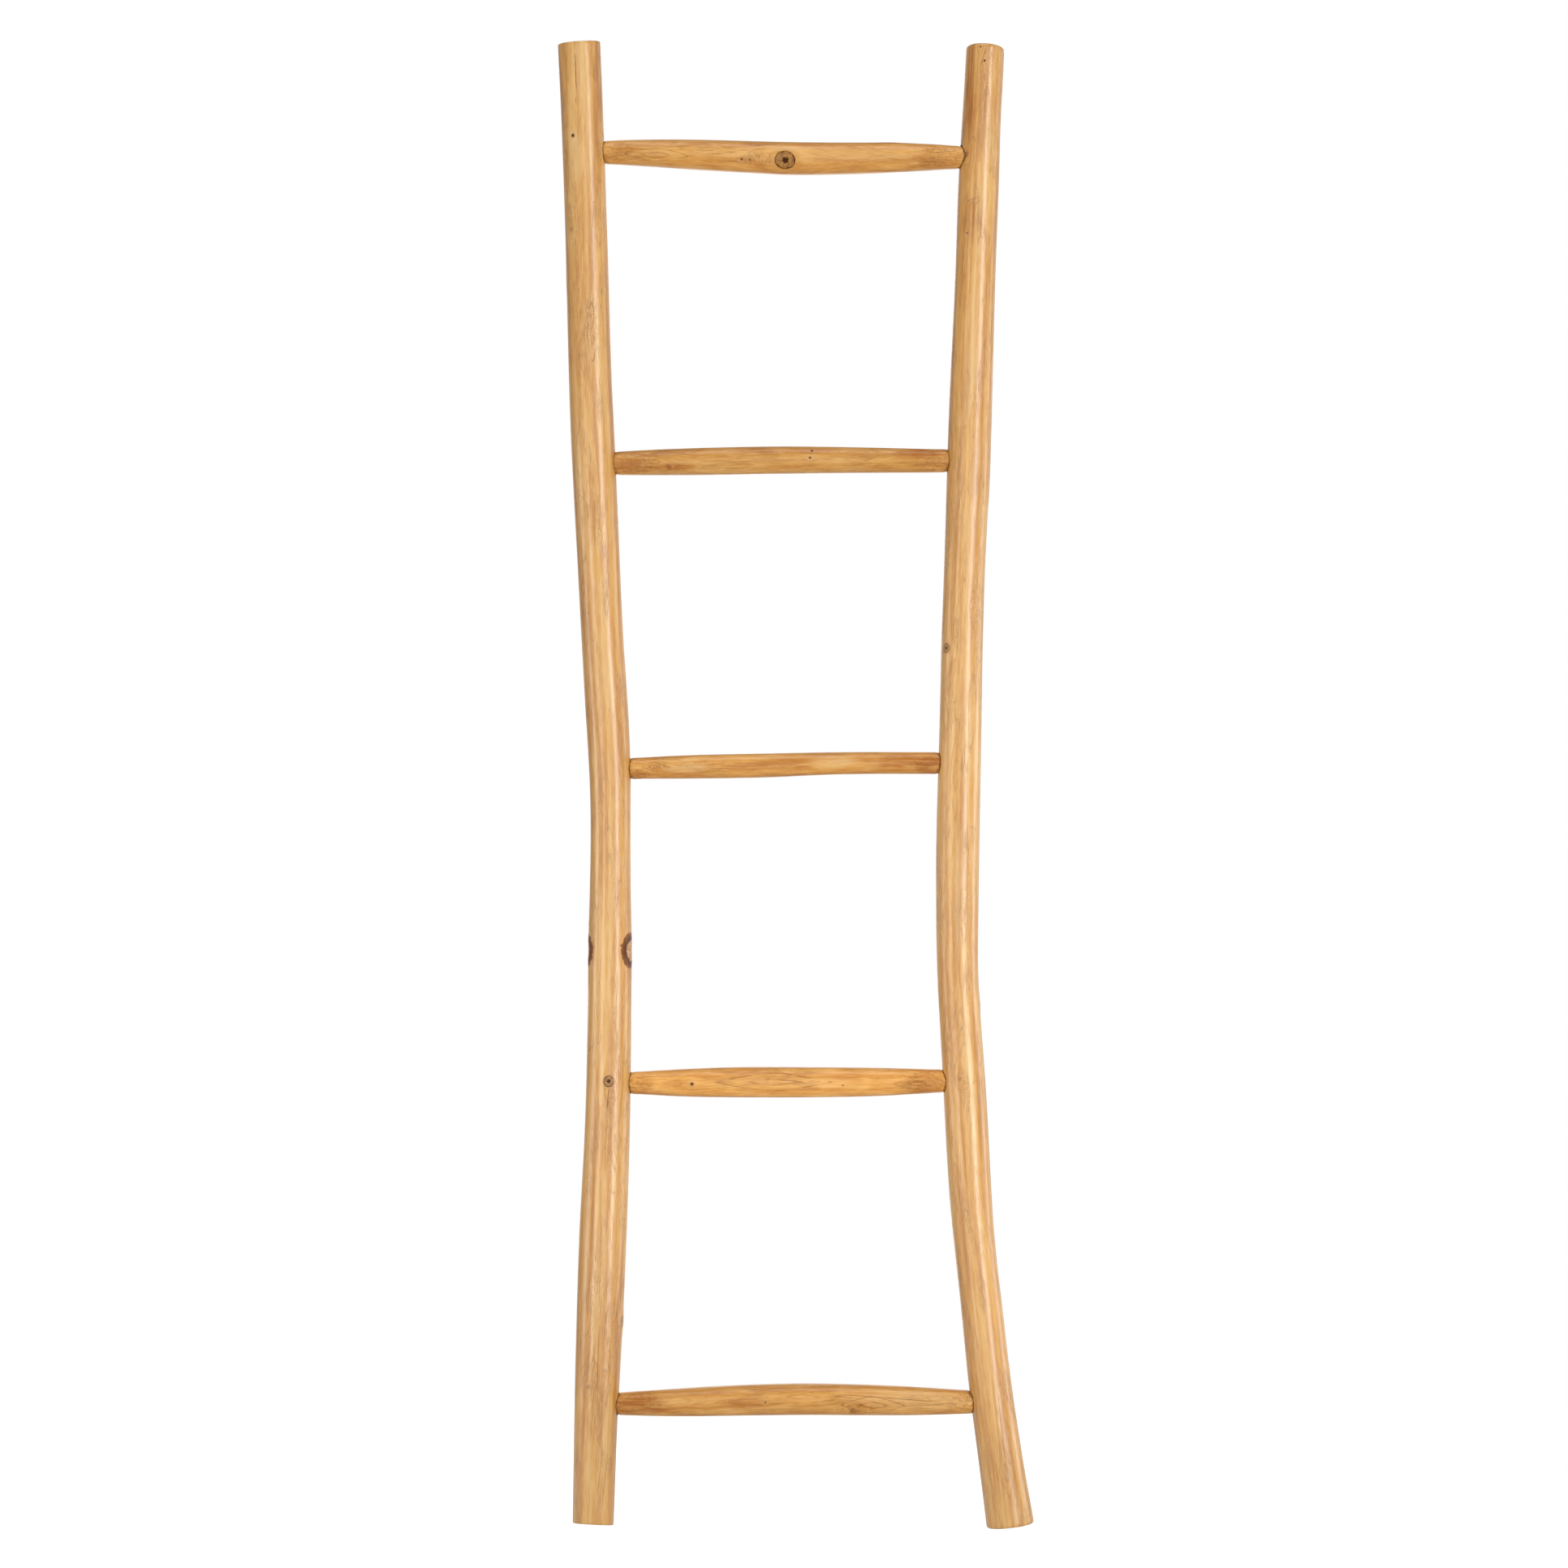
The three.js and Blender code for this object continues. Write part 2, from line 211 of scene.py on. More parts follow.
# Stains, and painted shade: place, angle, half length, half width, then how much browner the wood is (or
# paler, below 0). On each post, the brown entries near 1120 and 1440 mm on its left side are painted shade.
LEFT_STAINS_AND_SHADE = [
    # The next two are painted shade: the post's left side darkened towards its top
    (1440, -78, 80, 8, 0.6),
    (1120, -76, 220, 7, 0.3),
    (250, -10, 190, 22, 0.28),
    (1470, 62, 60, 6, 0.7),
    (1470, -4, 46, 3, -0.3),
    (1380, -20, 22, 7, -0.5),
    (1206, 11, 34, 7, -0.35),
    (970, -8, 24, 5, -0.5),
    (1010, -60, 120, 8, 0.3),
    (850, 10, 40, 6, -0.3),
    (600, 66, 60, 7, 0.4),
    (190, 58, 60, 6, 0.4),
]
RIGHT_STAINS_AND_SHADE = [
    (1450, 4, 60, 22, 0.22),
    # The next two are painted shade: the post's left side darkened towards its top
    (1130, -80, 260, 7, 0.3),
    (1440, -50, 70, 7, 0.7),
    (1318, -24, 24, 8, 0.6),
    (1180, -8, 70, 6, -0.3),
    (900, -52, 60, 6, 0.3),
    (640, 4, 60, 6, -0.3),
    (300, -30, 60, 6, 0.3),
    (60, 0, 40, 10, 0.35),
]
RUNG_STAINS = {
    "rung_1_top": [
        (-160, 10, 26, 9, 0.45),
        (-38, -20, 20, 6, 0.45),
        (128, -28, 30, 7, 0.35),
        (70, 6, 60, 5, -0.4),
    ],
    "rung_2": [
        (-160, -20, 22, 8, 0.55),
        (-122, -28, 20, 5, 0.7),
        (126, 30, 24, 8, 0.9),
        (-40, 45, 90, 6, 0.4),
    ],
    "rung_3": [
        (-158, -40, 10, 6, 0.6),
        (-110, -5, 22, 5, -0.5),
        (-12, 0, 34, 6, 0.45),
        (38, 8, 24, 6, -0.6),
        (112, -6, 42, 10, 0.8),
        (140, -20, 16, 10, 0.8),
    ],
    "rung_4": [(128, -18, 26, 9, 0.7), (-156, -30, 14, 7, 0.5), (-20, 5, 70, 8, -0.2)],
    "rung_5_bottom": [
        (-156, 0, 34, 12, 0.8),
        (-48, -6, 20, 7, 0.4),
        (62, -26, 9, 7, 0.5),
        (120, 10, 60, 10, -0.4),
    ],
}

# Chips and gaps at the mouths of the sockets: angle round the tenon, half width in degrees, and how far the
# wall stands back in mm, for each rung's left and right end.
SOCKET_CHIPS = {
    "rung_1_top": ([(-48, 34, 2.0)], [(70, 24, 1.1), (-66, 24, 0.9), (5, 20, 0.5)]),
    "rung_2": ([(68, 16, 0.9), (-44, 34, 1.1)], [(72, 20, 1.2), (-46, 30, 1.5)]),
    "rung_3": ([(0, 12, 0.9), (-60, 22, 0.9), (76, 14, 0.7)], [(45, 40, 1.3), (-40, 34, 0.9)]),
    "rung_4": ([(60, 16, 1.3), (-70, 16, 1.1)], [(18, 26, 0.9), (-42, 22, 1.4)]),
    "rung_5_bottom": ([(-60, 28, 1.4), (66, 20, 0.8)], [(34, 16, 1.9), (70, 18, 0.9)]),
}
SOCKET_GAP = 0.25 * MM
SOCKET_END_GAP = 0.5 * MM
SOCKET_CUT = 62 * MM  # from a tenon's end to well outside the post
SOCKET_FADE = 12 * MM  # from a tenon's end to where its chips, grime and painted shade are at full strength
# How far the grime and painted shade of a joint's crevice reach from the surfaces that meet there
GRIME_AND_SHADE_REACH = 0.9 * MM
PLAIN_END = 26 * MM  # from a rung's end to where its relief begins
RELIEF_FADE = 12 * MM  # from there to where its relief is at full strength
SHOULDER_DEPTH = 0.5 * MM
SHOULDER_WIDTH = 2.2 * MM
END_FADE = 70 * MM  # from a post's saw cut to where its rings are level again

# How far the saw cuts are rounded over, at each post's foot and top and at both ends of a rung.
POST_ROUND = {"left_post": (1.4 * MM, 1.9 * MM), "right_post": (2.5 * MM, 3.1 * MM)}
RUNG_ROUND = (1 * MM, 1 * MM)
RIM_STEPS = 5

POST_SEGMENTS = 112
POST_RINGS = 800
POST_CAP_RINGS = 14
RUNG_SEGMENTS = 84
RUNG_RINGS = 330
RUNG_CAP_RINGS = 6
RUNGS = ["rung_1_top", "rung_2", "rung_3", "rung_4", "rung_5_bottom"]
FAR = 50.0  # a distance from the nearest mark at which no mark shows

# Colours, from the darkest parts of the wood to the palest, and how bright each rung is.
POST_SHADES = ("c0823b", "cd9146", "d89f53", "dfab5f", "e5b672")
RUNG_SHADES = ("b87a38", "c88a42", "d2974c", "daa258", "e2af6a")
SAWN_SHADES = ("b98550", "cc9a63", "dcb180")
RUNG_BRIGHTNESS = dict(zip(RUNGS, (1.04, 0.95, 1.06, 1.2, 1.03)))
COAT_ROUGHNESS = 0.3

# The camera, in metres: how far in front it stands, how wide a view it takes in at the ladder, its height
# over the floor, and how far it is to the right of the ladder's middle.
CAMERA_DISTANCE = 4.0
CAMERA_VIEW = 1.584
CAMERA_HEIGHT = 0.751
CAMERA_ASIDE = -0.0112

# Soft lights aimed at the ladder's middle: azimuth, elevation, then distance, width and height in metres,
# power in watts, and tint. An azimuth of 0 is in front, and 90 is to the right.
PANELS = {
    "key_strip": (38, 0, 3.2, 0.7, 3.2, 62, (0.985, 1.0, 0.975)),
    "fill_strip": (-40, -8, 3.2, 0.3, 2.6, 25, (1.0, 0.985, 0.94)),
    "front_strip": (0, 2, 3.2, 0.7, 3.2, 16, (0.985, 1.0, 0.985)),
    "side_strip": (105, 0, 3.2, 0.9, 3.2, 14, (1.0, 0.99, 0.97)),
    "top_box": (0, 78, 3.4, 2.0, 1.2, 32, (1.0, 1.0, 1.0)),
    "back_strip": (180, 0, 3.2, 1.8, 3.2, 30, (1.0, 1.0, 1.0)),
    "back_left": (-150, 0, 3.2, 0.5, 3.2, 4, (1.0, 1.0, 1.0)),
    "back_right": (142, 0, 3.2, 0.5, 3.2, 7, (1.0, 1.0, 1.0)),
    "low_left": (-82, -6, 2.2, 0.4, 1.3, 8, (1.0, 0.96, 0.92)),
    "low_right": (96, -6, 2.2, 0.5, 1.6, 8, (1.0, 0.99, 0.98)),
}
FLOOR_RADIUS = 0.9
FLOOR_FILL = 0.45  # how bright the floor and the studio are for the ladder, where 1 is what the camera sees
STUDIO_FILL = 0.27


# ---- Reading the CAD shapes


def section(node, axis, place):
    """Lowest and highest corner of a CAD node's cross-section at a place along an axis."""
    normal = Vector((0, 0, 0))
    normal[axis] = 1
    bm = bmesh.new()
    bm.from_mesh(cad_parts[node].data)
    everything = bm.verts[:] + bm.edges[:] + bm.faces[:]
    cut = bmesh.ops.bisect_plane(bm, geom=everything, plane_co=normal * place, plane_no=normal)
    points = np.array([v.co for v in cut["geom_cut"] if isinstance(v, bmesh.types.BMVert)])
    bm.free()
    return points.min(0), points.max(0)


def end_plane(node, upwards):
    """A point on a post's flat saw cut, and the cut's rise towards +X and +Y."""
    low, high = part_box(node)
    level = high.z if upwards else low.z
    facing = 1 if upwards else -1
    area, normal, centre = 0, Vector(), Vector()
    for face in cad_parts[node].data.polygons:
        if facing * face.normal.z > 0.97 and abs(face.center.z - level) < 12 * MM:
            area += face.area
            normal += face.area * face.normal
            centre += face.area * face.center
    centre /= area
    return centre, -normal.x / normal.z, -normal.y / normal.z


def smooth(places, values, at):
    """A smooth curve through values at places, run on in a straight line past its ends."""
    slopes = np.gradient(values, places)
    index = np.clip(np.searchsorted(places, at) - 1, 0, len(places) - 2)
    step = places[index + 1] - places[index]
    share = (at - places[index]) / step
    inside = np.clip(share, 0, 1)
    curve = (
        (2 * inside**3 - 3 * inside**2 + 1) * values[index]
        + (inside**3 - 2 * inside**2 + inside) * step * slopes[index]
        + (3 * inside**2 - 2 * inside**3) * values[index + 1]
        + (inside**3 - inside**2) * step * slopes[index + 1]
    )
    before = np.minimum(share, 0) * step * slopes[index]
    after = np.maximum(share - 1, 0) * step * slopes[index + 1]
    return curve + before + after


class Branch:
    """The centre line and the thickness of a CAD post or rung, as smooth functions of the place along it."""

    def __init__(self, node, axis, side, places):
        self.node = node
        self.axis = axis
        self.side = side
        self.places = np.array(places)
        corners = np.array([section(node, axis, place) for place in places])
        middle = corners.mean(1)
        self.depths = middle[:, DEPTH]
        self.sideways = middle[:, side]
        self.radii = (corners[:, 1, side] - corners[:, 0, side]) / 2

    def centre(self, at):
        """Centre in depth and to the side, at places along the branch."""
        return smooth(self.places, self.depths, at), smooth(self.places, self.sideways, at)

    def radius(self, at):
        """Radius at places along the branch."""
        return smooth(self.places, self.radii, at)

    def points(self, at, around, radius):
        """Points in the ladder's frame, for arrays of places, angles and radii."""
        depth, sideways = self.centre(at)
        result = np.zeros(at.shape + (3,))
        result[..., self.axis] = at
        result[..., DEPTH] = depth - radius * np.cos(around)
        result[..., self.side] = sideways + radius * np.sin(around)
        return result

    def clearance(self, points):
        """How far points are from the branch's surface, or below 0 inside it."""
        at, _, distance = self.locate(points)
        return distance - self.radius(at)

    def locate(self, points):
        """Place along the branch, angle and distance from the centre line of points in the frame."""
        at = points[..., self.axis]
        depth, sideways = self.centre(at)
        to_front = depth - points[..., DEPTH]
        to_side = points[..., self.side] - sideways
        return at, np.arctan2(to_side, to_front), np.hypot(to_side, to_front)


# ---- Relief


def ease(share):
    """A share held between 0 and 1, with soft ends."""
    share = np.clip(share, 0, 1)
    return share * share * (3 - 2 * share)


def drift(rng, along, around, cell_length, cells_around):
    """Smooth random values from -1 to 1 over a branch, in cells of a length and a number around it."""
    row = (along - along.min()) / cell_length
    column = (around % FULL_TURN) / FULL_TURN * cells_around
    lattice = rng.uniform(-1, 1, (int(row.max()) + 2, cells_around))
    row_0 = row.astype(int)
    column_0 = column.astype(int) % cells_around
    column_1 = (column_0 + 1) % cells_around
    down = ease(row - row_0)
    over = ease(column - np.floor(column))
    near = lattice[row_0, column_0] * (1 - over) + lattice[row_0, column_1] * over
    far = lattice[row_0 + 1, column_0] * (1 - over) + lattice[row_0 + 1, column_1] * over
    return near * (1 - down) + far * down


def turned(angle):
    """An angle brought to between minus and plus half a turn."""
    return (angle + np.pi) % FULL_TURN - np.pi


def offsets(at, around, radius, place, angle):
    """How far points are from a feature, along the branch and around its surface."""
    return at - place * MM, turned(around - np.radians(angle)) * radius


def oval(at, around, radius, place, angle, half_length, half_width):
    """How far out points are in an oval mark, where 1 is its outline."""
    lengthwise, across = offsets(at, around, radius, place, angle)
    return np.hypot(lengthwise / (half_length * MM), across / (half_width * MM))


def knot_relief(at, around, radius, knots):
    """Swellings round the knots, a groove round the larger ones, and their sunk hearts."""
    relief = np.zeros_like(at)
    for place, angle, size, swell, pit, look, _ in knots:
        length, across = offsets(at, around, radius, place, angle)
        distance = np.hypot(across, length * 0.9) / (size * MM)
        relief += swell * MM * np.exp(-((distance / 1.9) ** 2))
        if look in ("eye", "bark"):
            relief -= 0.22 * swell * MM * np.exp(-(((distance - 1.0) / 0.16) ** 2))
        relief -= pit * MM * np.exp(-((distance / (0.7 if look == "hole" else 0.4)) ** 4))
    return relief


def crack_relief(at, around, radius, cracks):
    """Grooves that run out at both ends."""
    relief = np.zeros_like(at)
    for place, angle, length, width, depth, sideways in cracks:
        lengthwise, across = offsets(at, around, radius, place, angle)
        share = lengthwise / (length * MM / 2)
        across = across - sideways * MM / 2 * share
        groove = np.exp(-((across / (1.3 * width * MM)) ** 2)) * ease((1 - np.abs(share)) * 4)
        relief -= depth * MM * groove
    return relief


def scar_relief(rng, at, around, radius, scars):
    """Rough, slightly sunk ovals."""
    relief = np.zeros_like(at)
    for *spot, depth in scars:
        inside = ease((1.15 - oval(at, around, radius, *spot)) * 2.5)
        rough = drift(rng, at, around, 4 * MM, 40)
        relief += inside * depth * MM * (0.8 * rough - 0.45)
    return relief


def bark_relief(rng, at, around, unevenness):
    """The slight flats, ridges and ripples that peeling and drying leave."""
    bend = 0.28 * drift(rng, at, around, 240 * MM, 3)
    flats = 0.18 * drift(rng, at, around, 170 * MM, 8)
    ridges = 0.028 * drift(rng, at, around, 90 * MM, 19)
    ripples = 0.012 * drift(rng, at, around, 40 * MM, 41)
    fibres = 0.014 * drift(rng, at, around, 18 * MM, 56)
    return (bend + flats + ridges + ripples + fibres) * unevenness * MM


def carve(rng, at, around, radius, marks, unevenness):
    """How far the wood stands out from a plain round branch."""
    knots, cracks, scars, *_ = marks
    relief = bark_relief(rng, at, around, unevenness)
    relief += knot_relief(at, around, radius, knots)
    relief += crack_relief(at, around, radius, cracks)
    relief += scar_relief(rng, at, around, radius, scars)
    return relief


# ---- Meshes


def rim(round_over):
    """How far a rounded rim stands in from the side and from the end, from the end's flat to the side."""
    turn = np.linspace(0, np.pi / 2, RIM_STEPS)
    return [(round_over * (1 - np.sin(t)), round_over * (1 - np.cos(t))) for t in turn]


def rings_of(branch, start, end, count, rounds, cap_rings):
    """Rows of (place, radius) from the middle of one end, out over the rim, along, and back in."""
    start_round, end_round = rounds
    start_radius, end_radius = branch.radius(np.array([start, end]))
    cap = [(i + 1) / cap_rings for i in range(cap_rings - 1)]
    places = np.linspace(start + start_round, end - end_round, count)[1:-1]
    rows = [(start, (start_radius - start_round) * share) for share in cap]
    rows += [(start + into, start_radius - inwards) for inwards, into in rim(start_round)]
    rows += zip(places, branch.radius(places))
    rows += [(end - into, end_radius - inwards) for inwards, into in reversed(rim(end_round))]
    rows += [(end, (end_radius - end_round) * share) for share in reversed(cap)]
    return np.array(rows)


def grid(rows, segments):
    """The places and the angles of rings of points."""
    around = np.linspace(-np.pi, np.pi, segments, endpoint=False)
    return np.meshgrid(rows[:, 0], around, indexing="ij")


def tube_mesh(name, rings, first, last, flip):
    """A closed mesh from rings of points, with a middle point at each end."""
    count, segments = rings.shape[:2]
    points = np.concatenate([rings.reshape(-1, 3), [first, last]])
    row, column = np.meshgrid(np.arange(count - 1), np.arange(segments), indexing="ij")
    a = row * segments + column
    b = row * segments + (column + 1) % segments
    quads = np.stack([a, b, b + segments, a + segments], -1).reshape(-1, 4)
    edge = np.arange(segments)
    after = (edge + 1) % segments
    top = (count - 1) * segments
    start_fan = np.stack([after, edge, np.full(segments, count * segments)], -1)
    end_fan = np.stack([top + edge, top + after, np.full(segments, count * segments + 1)], -1)
    faces = [row for block in (quads, start_fan, end_fan) for row in block.tolist()]
    if flip:
        faces = [face[::-1] for face in faces]
    mesh = bpy.data.meshes.new(name)
    mesh.from_pydata(points.tolist(), [], faces)
    mesh.update()
    return mesh


def new_object(name, data):
    """An object for a mesh, a camera or a light, put in the scene."""
    result = bpy.data.objects.new(name, data)
    bpy.context.scene.collection.objects.link(result)
    return result


def closed_branch(node, rings, flip):
    """A branch for a node, closed at the middles of its first and its last ring."""
    name = node + "_branch"
    return new_object(name, tube_mesh(name, rings, rings[0].mean(0), rings[-1].mean(0), flip))


def drop_lone_corners(mesh):
    """Takes out corners that only two edges meet at, because the triangles there would fold back to back."""
    bm = bmesh.new()
    bm.from_mesh(mesh)
    lone = [vertex for vertex in bm.verts if len(vertex.link_edges) == 2]
    bmesh.ops.dissolve_verts(bm, verts=lone)
    bm.to_mesh(mesh)
    bm.free()


def bore(piece, cutter_meshes):
    """Takes cutters that don't touch each other out of a piece."""
    bm = bmesh.new()
    for mesh in cutter_meshes:
        bm.from_mesh(mesh)
        bpy.data.meshes.remove(mesh)
    cutter = new_object("cutter", bpy.data.meshes.new("cutter"))
    bm.to_mesh(cutter.data)
    bm.free()
    modifier = piece.modifiers.new("bore", "BOOLEAN")
    modifier.operation = "DIFFERENCE"
    modifier.solver = "MANIFOLD"
    modifier.object = cutter
    uncut = piece.data
    evaluated = piece.evaluated_get(bpy.context.evaluated_depsgraph_get())
    piece_mesh = bpy.data.meshes.new_from_object(evaluated)
    drop_lone_corners(piece_mesh)
    piece.modifiers.clear()
    piece.data = piece_mesh
    bpy.data.meshes.remove(uncut)
    bpy.data.meshes.remove(cutter.data)


def socket_cutter(rng, rung, outwards, chips):
    """An uneven round cutter a little wider than a rung's tenon, as a hand drill leaves it."""
    low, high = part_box(rung.node)
    end = high.x if outwards > 0 else low.x
    depth, height = rung.centre(np.array([end]))
    radius = rung.radius(np.array([end]))[0] + SOCKET_GAP
    places = np.linspace(end - outwards * SOCKET_CUT, end + outwards * SOCKET_END_GAP, 40)
    around = np.linspace(0, FULL_TURN, 64, endpoint=False)
    at, turn = np.meshgrid(places, around, indexing="ij")
    ragged = 0.16 * drift(rng, at * outwards, turn, 5 * MM, 21)
    ragged += 0.14 * drift(rng, at * outwards, turn, 9 * MM, 5)
    wall = radius + np.maximum(ragged, -0.08) * MM
    deep = ease((end - at) * outwards / SOCKET_FADE)
    for angle, half_width, stand_back in chips:
        off = np.degrees(turned(turn - np.radians(angle))) / half_width
        wall = wall + stand_back * MM * np.exp(-(off**4)) * deep
    rings = np.stack([at, depth[0] - wall * np.cos(turn), height[0] + wall * np.sin(turn)], -1)
    first = (places[0], depth[0], height[0])
    last = (places[-1], depth[0], height[0])
    return tube_mesh("socket_cutter", rings, first, last, flip=outwards > 0)


def brad_cutter(name):
    """The hole for a brad: its head's recess in the back of the post, and its shank."""
    low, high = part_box(name)
    middle = (low + high) / 2
    head = (high.x - low.x) / 2 + 0.25 * MM
    shank = 0.9 * MM
    tip = low.y - 0.3 * MM
    recess = high.y - 1.2 * MM
    outside = high.y + 6 * MM
    profile = [(tip, shank), (recess, shank), (recess, head), (outside, head)]
    around = np.linspace(0, FULL_TURN, 24, endpoint=False)
    rings = [[(middle.x + r * np.cos(t), y, middle.z + r * np.sin(t)) for t in around] for y, r in profile]
    first = (middle.x, tip, middle.z)
    last = (middle.x, outside, middle.z)
    return tube_mesh("brad_cutter", np.array(rings), first, last, flip=True)


# ---- What the wood's material reads from each point of the mesh


def grain_coordinates(at, around, distance, radius, knots, spiral, origin):
    """Straightened coordinates of the wood: the grain winds slowly and parts round the knots."""
    grain = around + spiral * at + 0.05 * np.sin(at * FULL_TURN / 0.42 + origin)
    for place, angle, size, *_ in knots:
        length, across = offsets(at, around, radius, place, angle)
        size = size * MM
        push = 0.75 * np.exp(-((across / (2.6 * size)) ** 2) - (length / (4.5 * size)) ** 2)
        grain -= across / radius * push
    return np.stack([distance * np.cos(grain), distance * np.sin(grain), at + origin], -1)


def nearest_knot(at, around, radius, knots):
    """Where each point lies from its nearest knot, in knot radii, and how strong each look is there."""
    best = np.full(at.shape, FAR)
    where = np.tile((FAR, FAR, 0.0), at.shape + (1,))
    looks = np.zeros(at.shape + (len(LOOKS),))
    for place, angle, size, _, _, look, strength in knots:
        length, across = offsets(at, around, radius, place, angle)
        length = 0.9 * length / (size * MM)
        across = across / (size * MM)
        distance = np.hypot(length, across)
        closer = distance < best
        best[closer] = distance[closer]
        where[closer] = np.stack([across, length, np.zeros_like(at)], -1)[closer]
        looks[closer] = 0
        looks[closer & (distance < LOOKS[look])] = [strength * (look == name) for name in LOOKS]
    return where, looks


def nearest_crack(at, around, radius, cracks):
    """Where each point lies by its nearest crack: how many crack widths across, how many half lengths along,
    and how strongly the crack is drawn."""
    best = np.full(at.shape, FAR)
    result = np.tile((FAR, FAR, 0.0), at.shape + (1,))
    for place, angle, length, width, depth, sideways in cracks:
        lengthwise, across = offsets(at, around, radius, place, angle)
        share = lengthwise / (length * MM / 2)
        across = (across - sideways * MM / 2 * share) / (width * MM)
        distance = np.abs(across) + 20 * np.maximum(np.abs(share) - 1, 0)
        closer = distance < best
        best[closer] = distance[closer]
        near = (np.abs(across) * width < CRACK_REACH) & (np.abs(share) < CRACK_RUN)
        strength = near * min(1, depth / CRACK_FULL_DEPTH)
        result[closer] = np.stack([across, share, strength], -1)[closer]
    return result


def nearest_loop(at, around, radius, loops):
    """How far out each point is in its nearest loop, where 1 is the outline, and how the loop looks."""
    result = np.tile((FAR, 0.0, 0.0), at.shape + (1,))
    for place, angle, half_length, half_width, lines, golden in loops:
        lengthwise, across = offsets(at, around, radius, place, angle)
        lengthwise = np.abs(lengthwise) / (half_length * MM)
        edge = lengthwise**1.4 + np.abs(across) / (half_width * MM)
        closer = edge < result[..., 0]
        look = np.broadcast_to((lines, golden), at.shape + (2,))
        result[closer] = np.concatenate([edge[..., None], look], -1)[closer]
    return result


def scar_share(at, around, radius, scars):
    """How far each point is inside a scar, from 0 to 1."""
    result = np.zeros_like(at)
    for *spot, _ in scars:
        result = np.maximum(result, ease((1.3 - oval(at, around, radius, *spot)) * 1.6))
    return result


def stain_and_shade_share(at, around, radius, stains_and_shade):
    """How much browner (above 0) or paler (below 0) the wood is at each point, from stains and painted shade.
    """
    result = np.zeros_like(at)
    for *spot, strength in stains_and_shade:
        result += strength * ease((1.35 - oval(at, around, radius, *spot)) * 1.3)
    return np.clip(result, -1, 1)


def put(mesh, name, values):
    """Stores one value or one vector for each vertex of a mesh."""
    values = np.asarray(values, np.float32)
    kind, field = ("FLOAT_VECTOR", "vector") if values.ndim == 2 else ("FLOAT", "value")
    mesh.attributes.new(name, kind, "POINT").data.foreach_set(field, values.ravel())


def describe_wood(mesh, branch, marks, grime_and_shade_of, spiral, origin):
    """Stores what the teak's layers read: the grain, and the nearness and strength of each kind of mark."""
    knots, cracks, scars, loops, stains_and_shade = marks
    points = np.zeros(len(mesh.vertices) * 3)
    mesh.vertices.foreach_get("co", points)
    points = points.reshape(-1, 3)
    at, around, distance = branch.locate(points)
    radius = branch.radius(at)
    place = (at, around, radius)
    where, looks = nearest_knot(*place, knots)
    put(mesh, "wood", grain_coordinates(at, around, distance, radius, knots, spiral, origin))
    put(mesh, "knot", where)
    put(mesh, "knot_look", looks[:, :3])
    put(mesh, "knot_bark", looks[:, 3])
    put(mesh, "crack", nearest_crack(*place, cracks))
    put(mesh, "scar", scar_share(*place, scars))
    put(mesh, "loop", nearest_loop(*place, loops))
    put(mesh, "stain_and_shade", stain_and_shade_share(*place, stains_and_shade))
    put(mesh, "grime_and_shade", grime_and_shade_of(points))


# ---- Materials


def colour(code):
    """A colour written as six hexadecimal digits, as linear light."""
    parts = [int(code[i : i + 2], 16) / 255 for i in (0, 2, 4)]
    return [p / 12.92 if p <= 0.04045 else ((p + 0.055) / 1.055) ** 2.4 for p in parts] + [1]


def brighter(shades, gain):
    """Colour codes with their light scaled by a gain. A code's digits grow with the light's power of 0.45."""
    result = []
    for code in shades:
        digits = [round(int(code[i : i + 2], 16) * gain**0.45) for i in (0, 2, 4)]
        result.append("".join(f"{min(255, value):02x}" for value in digits))
    return result


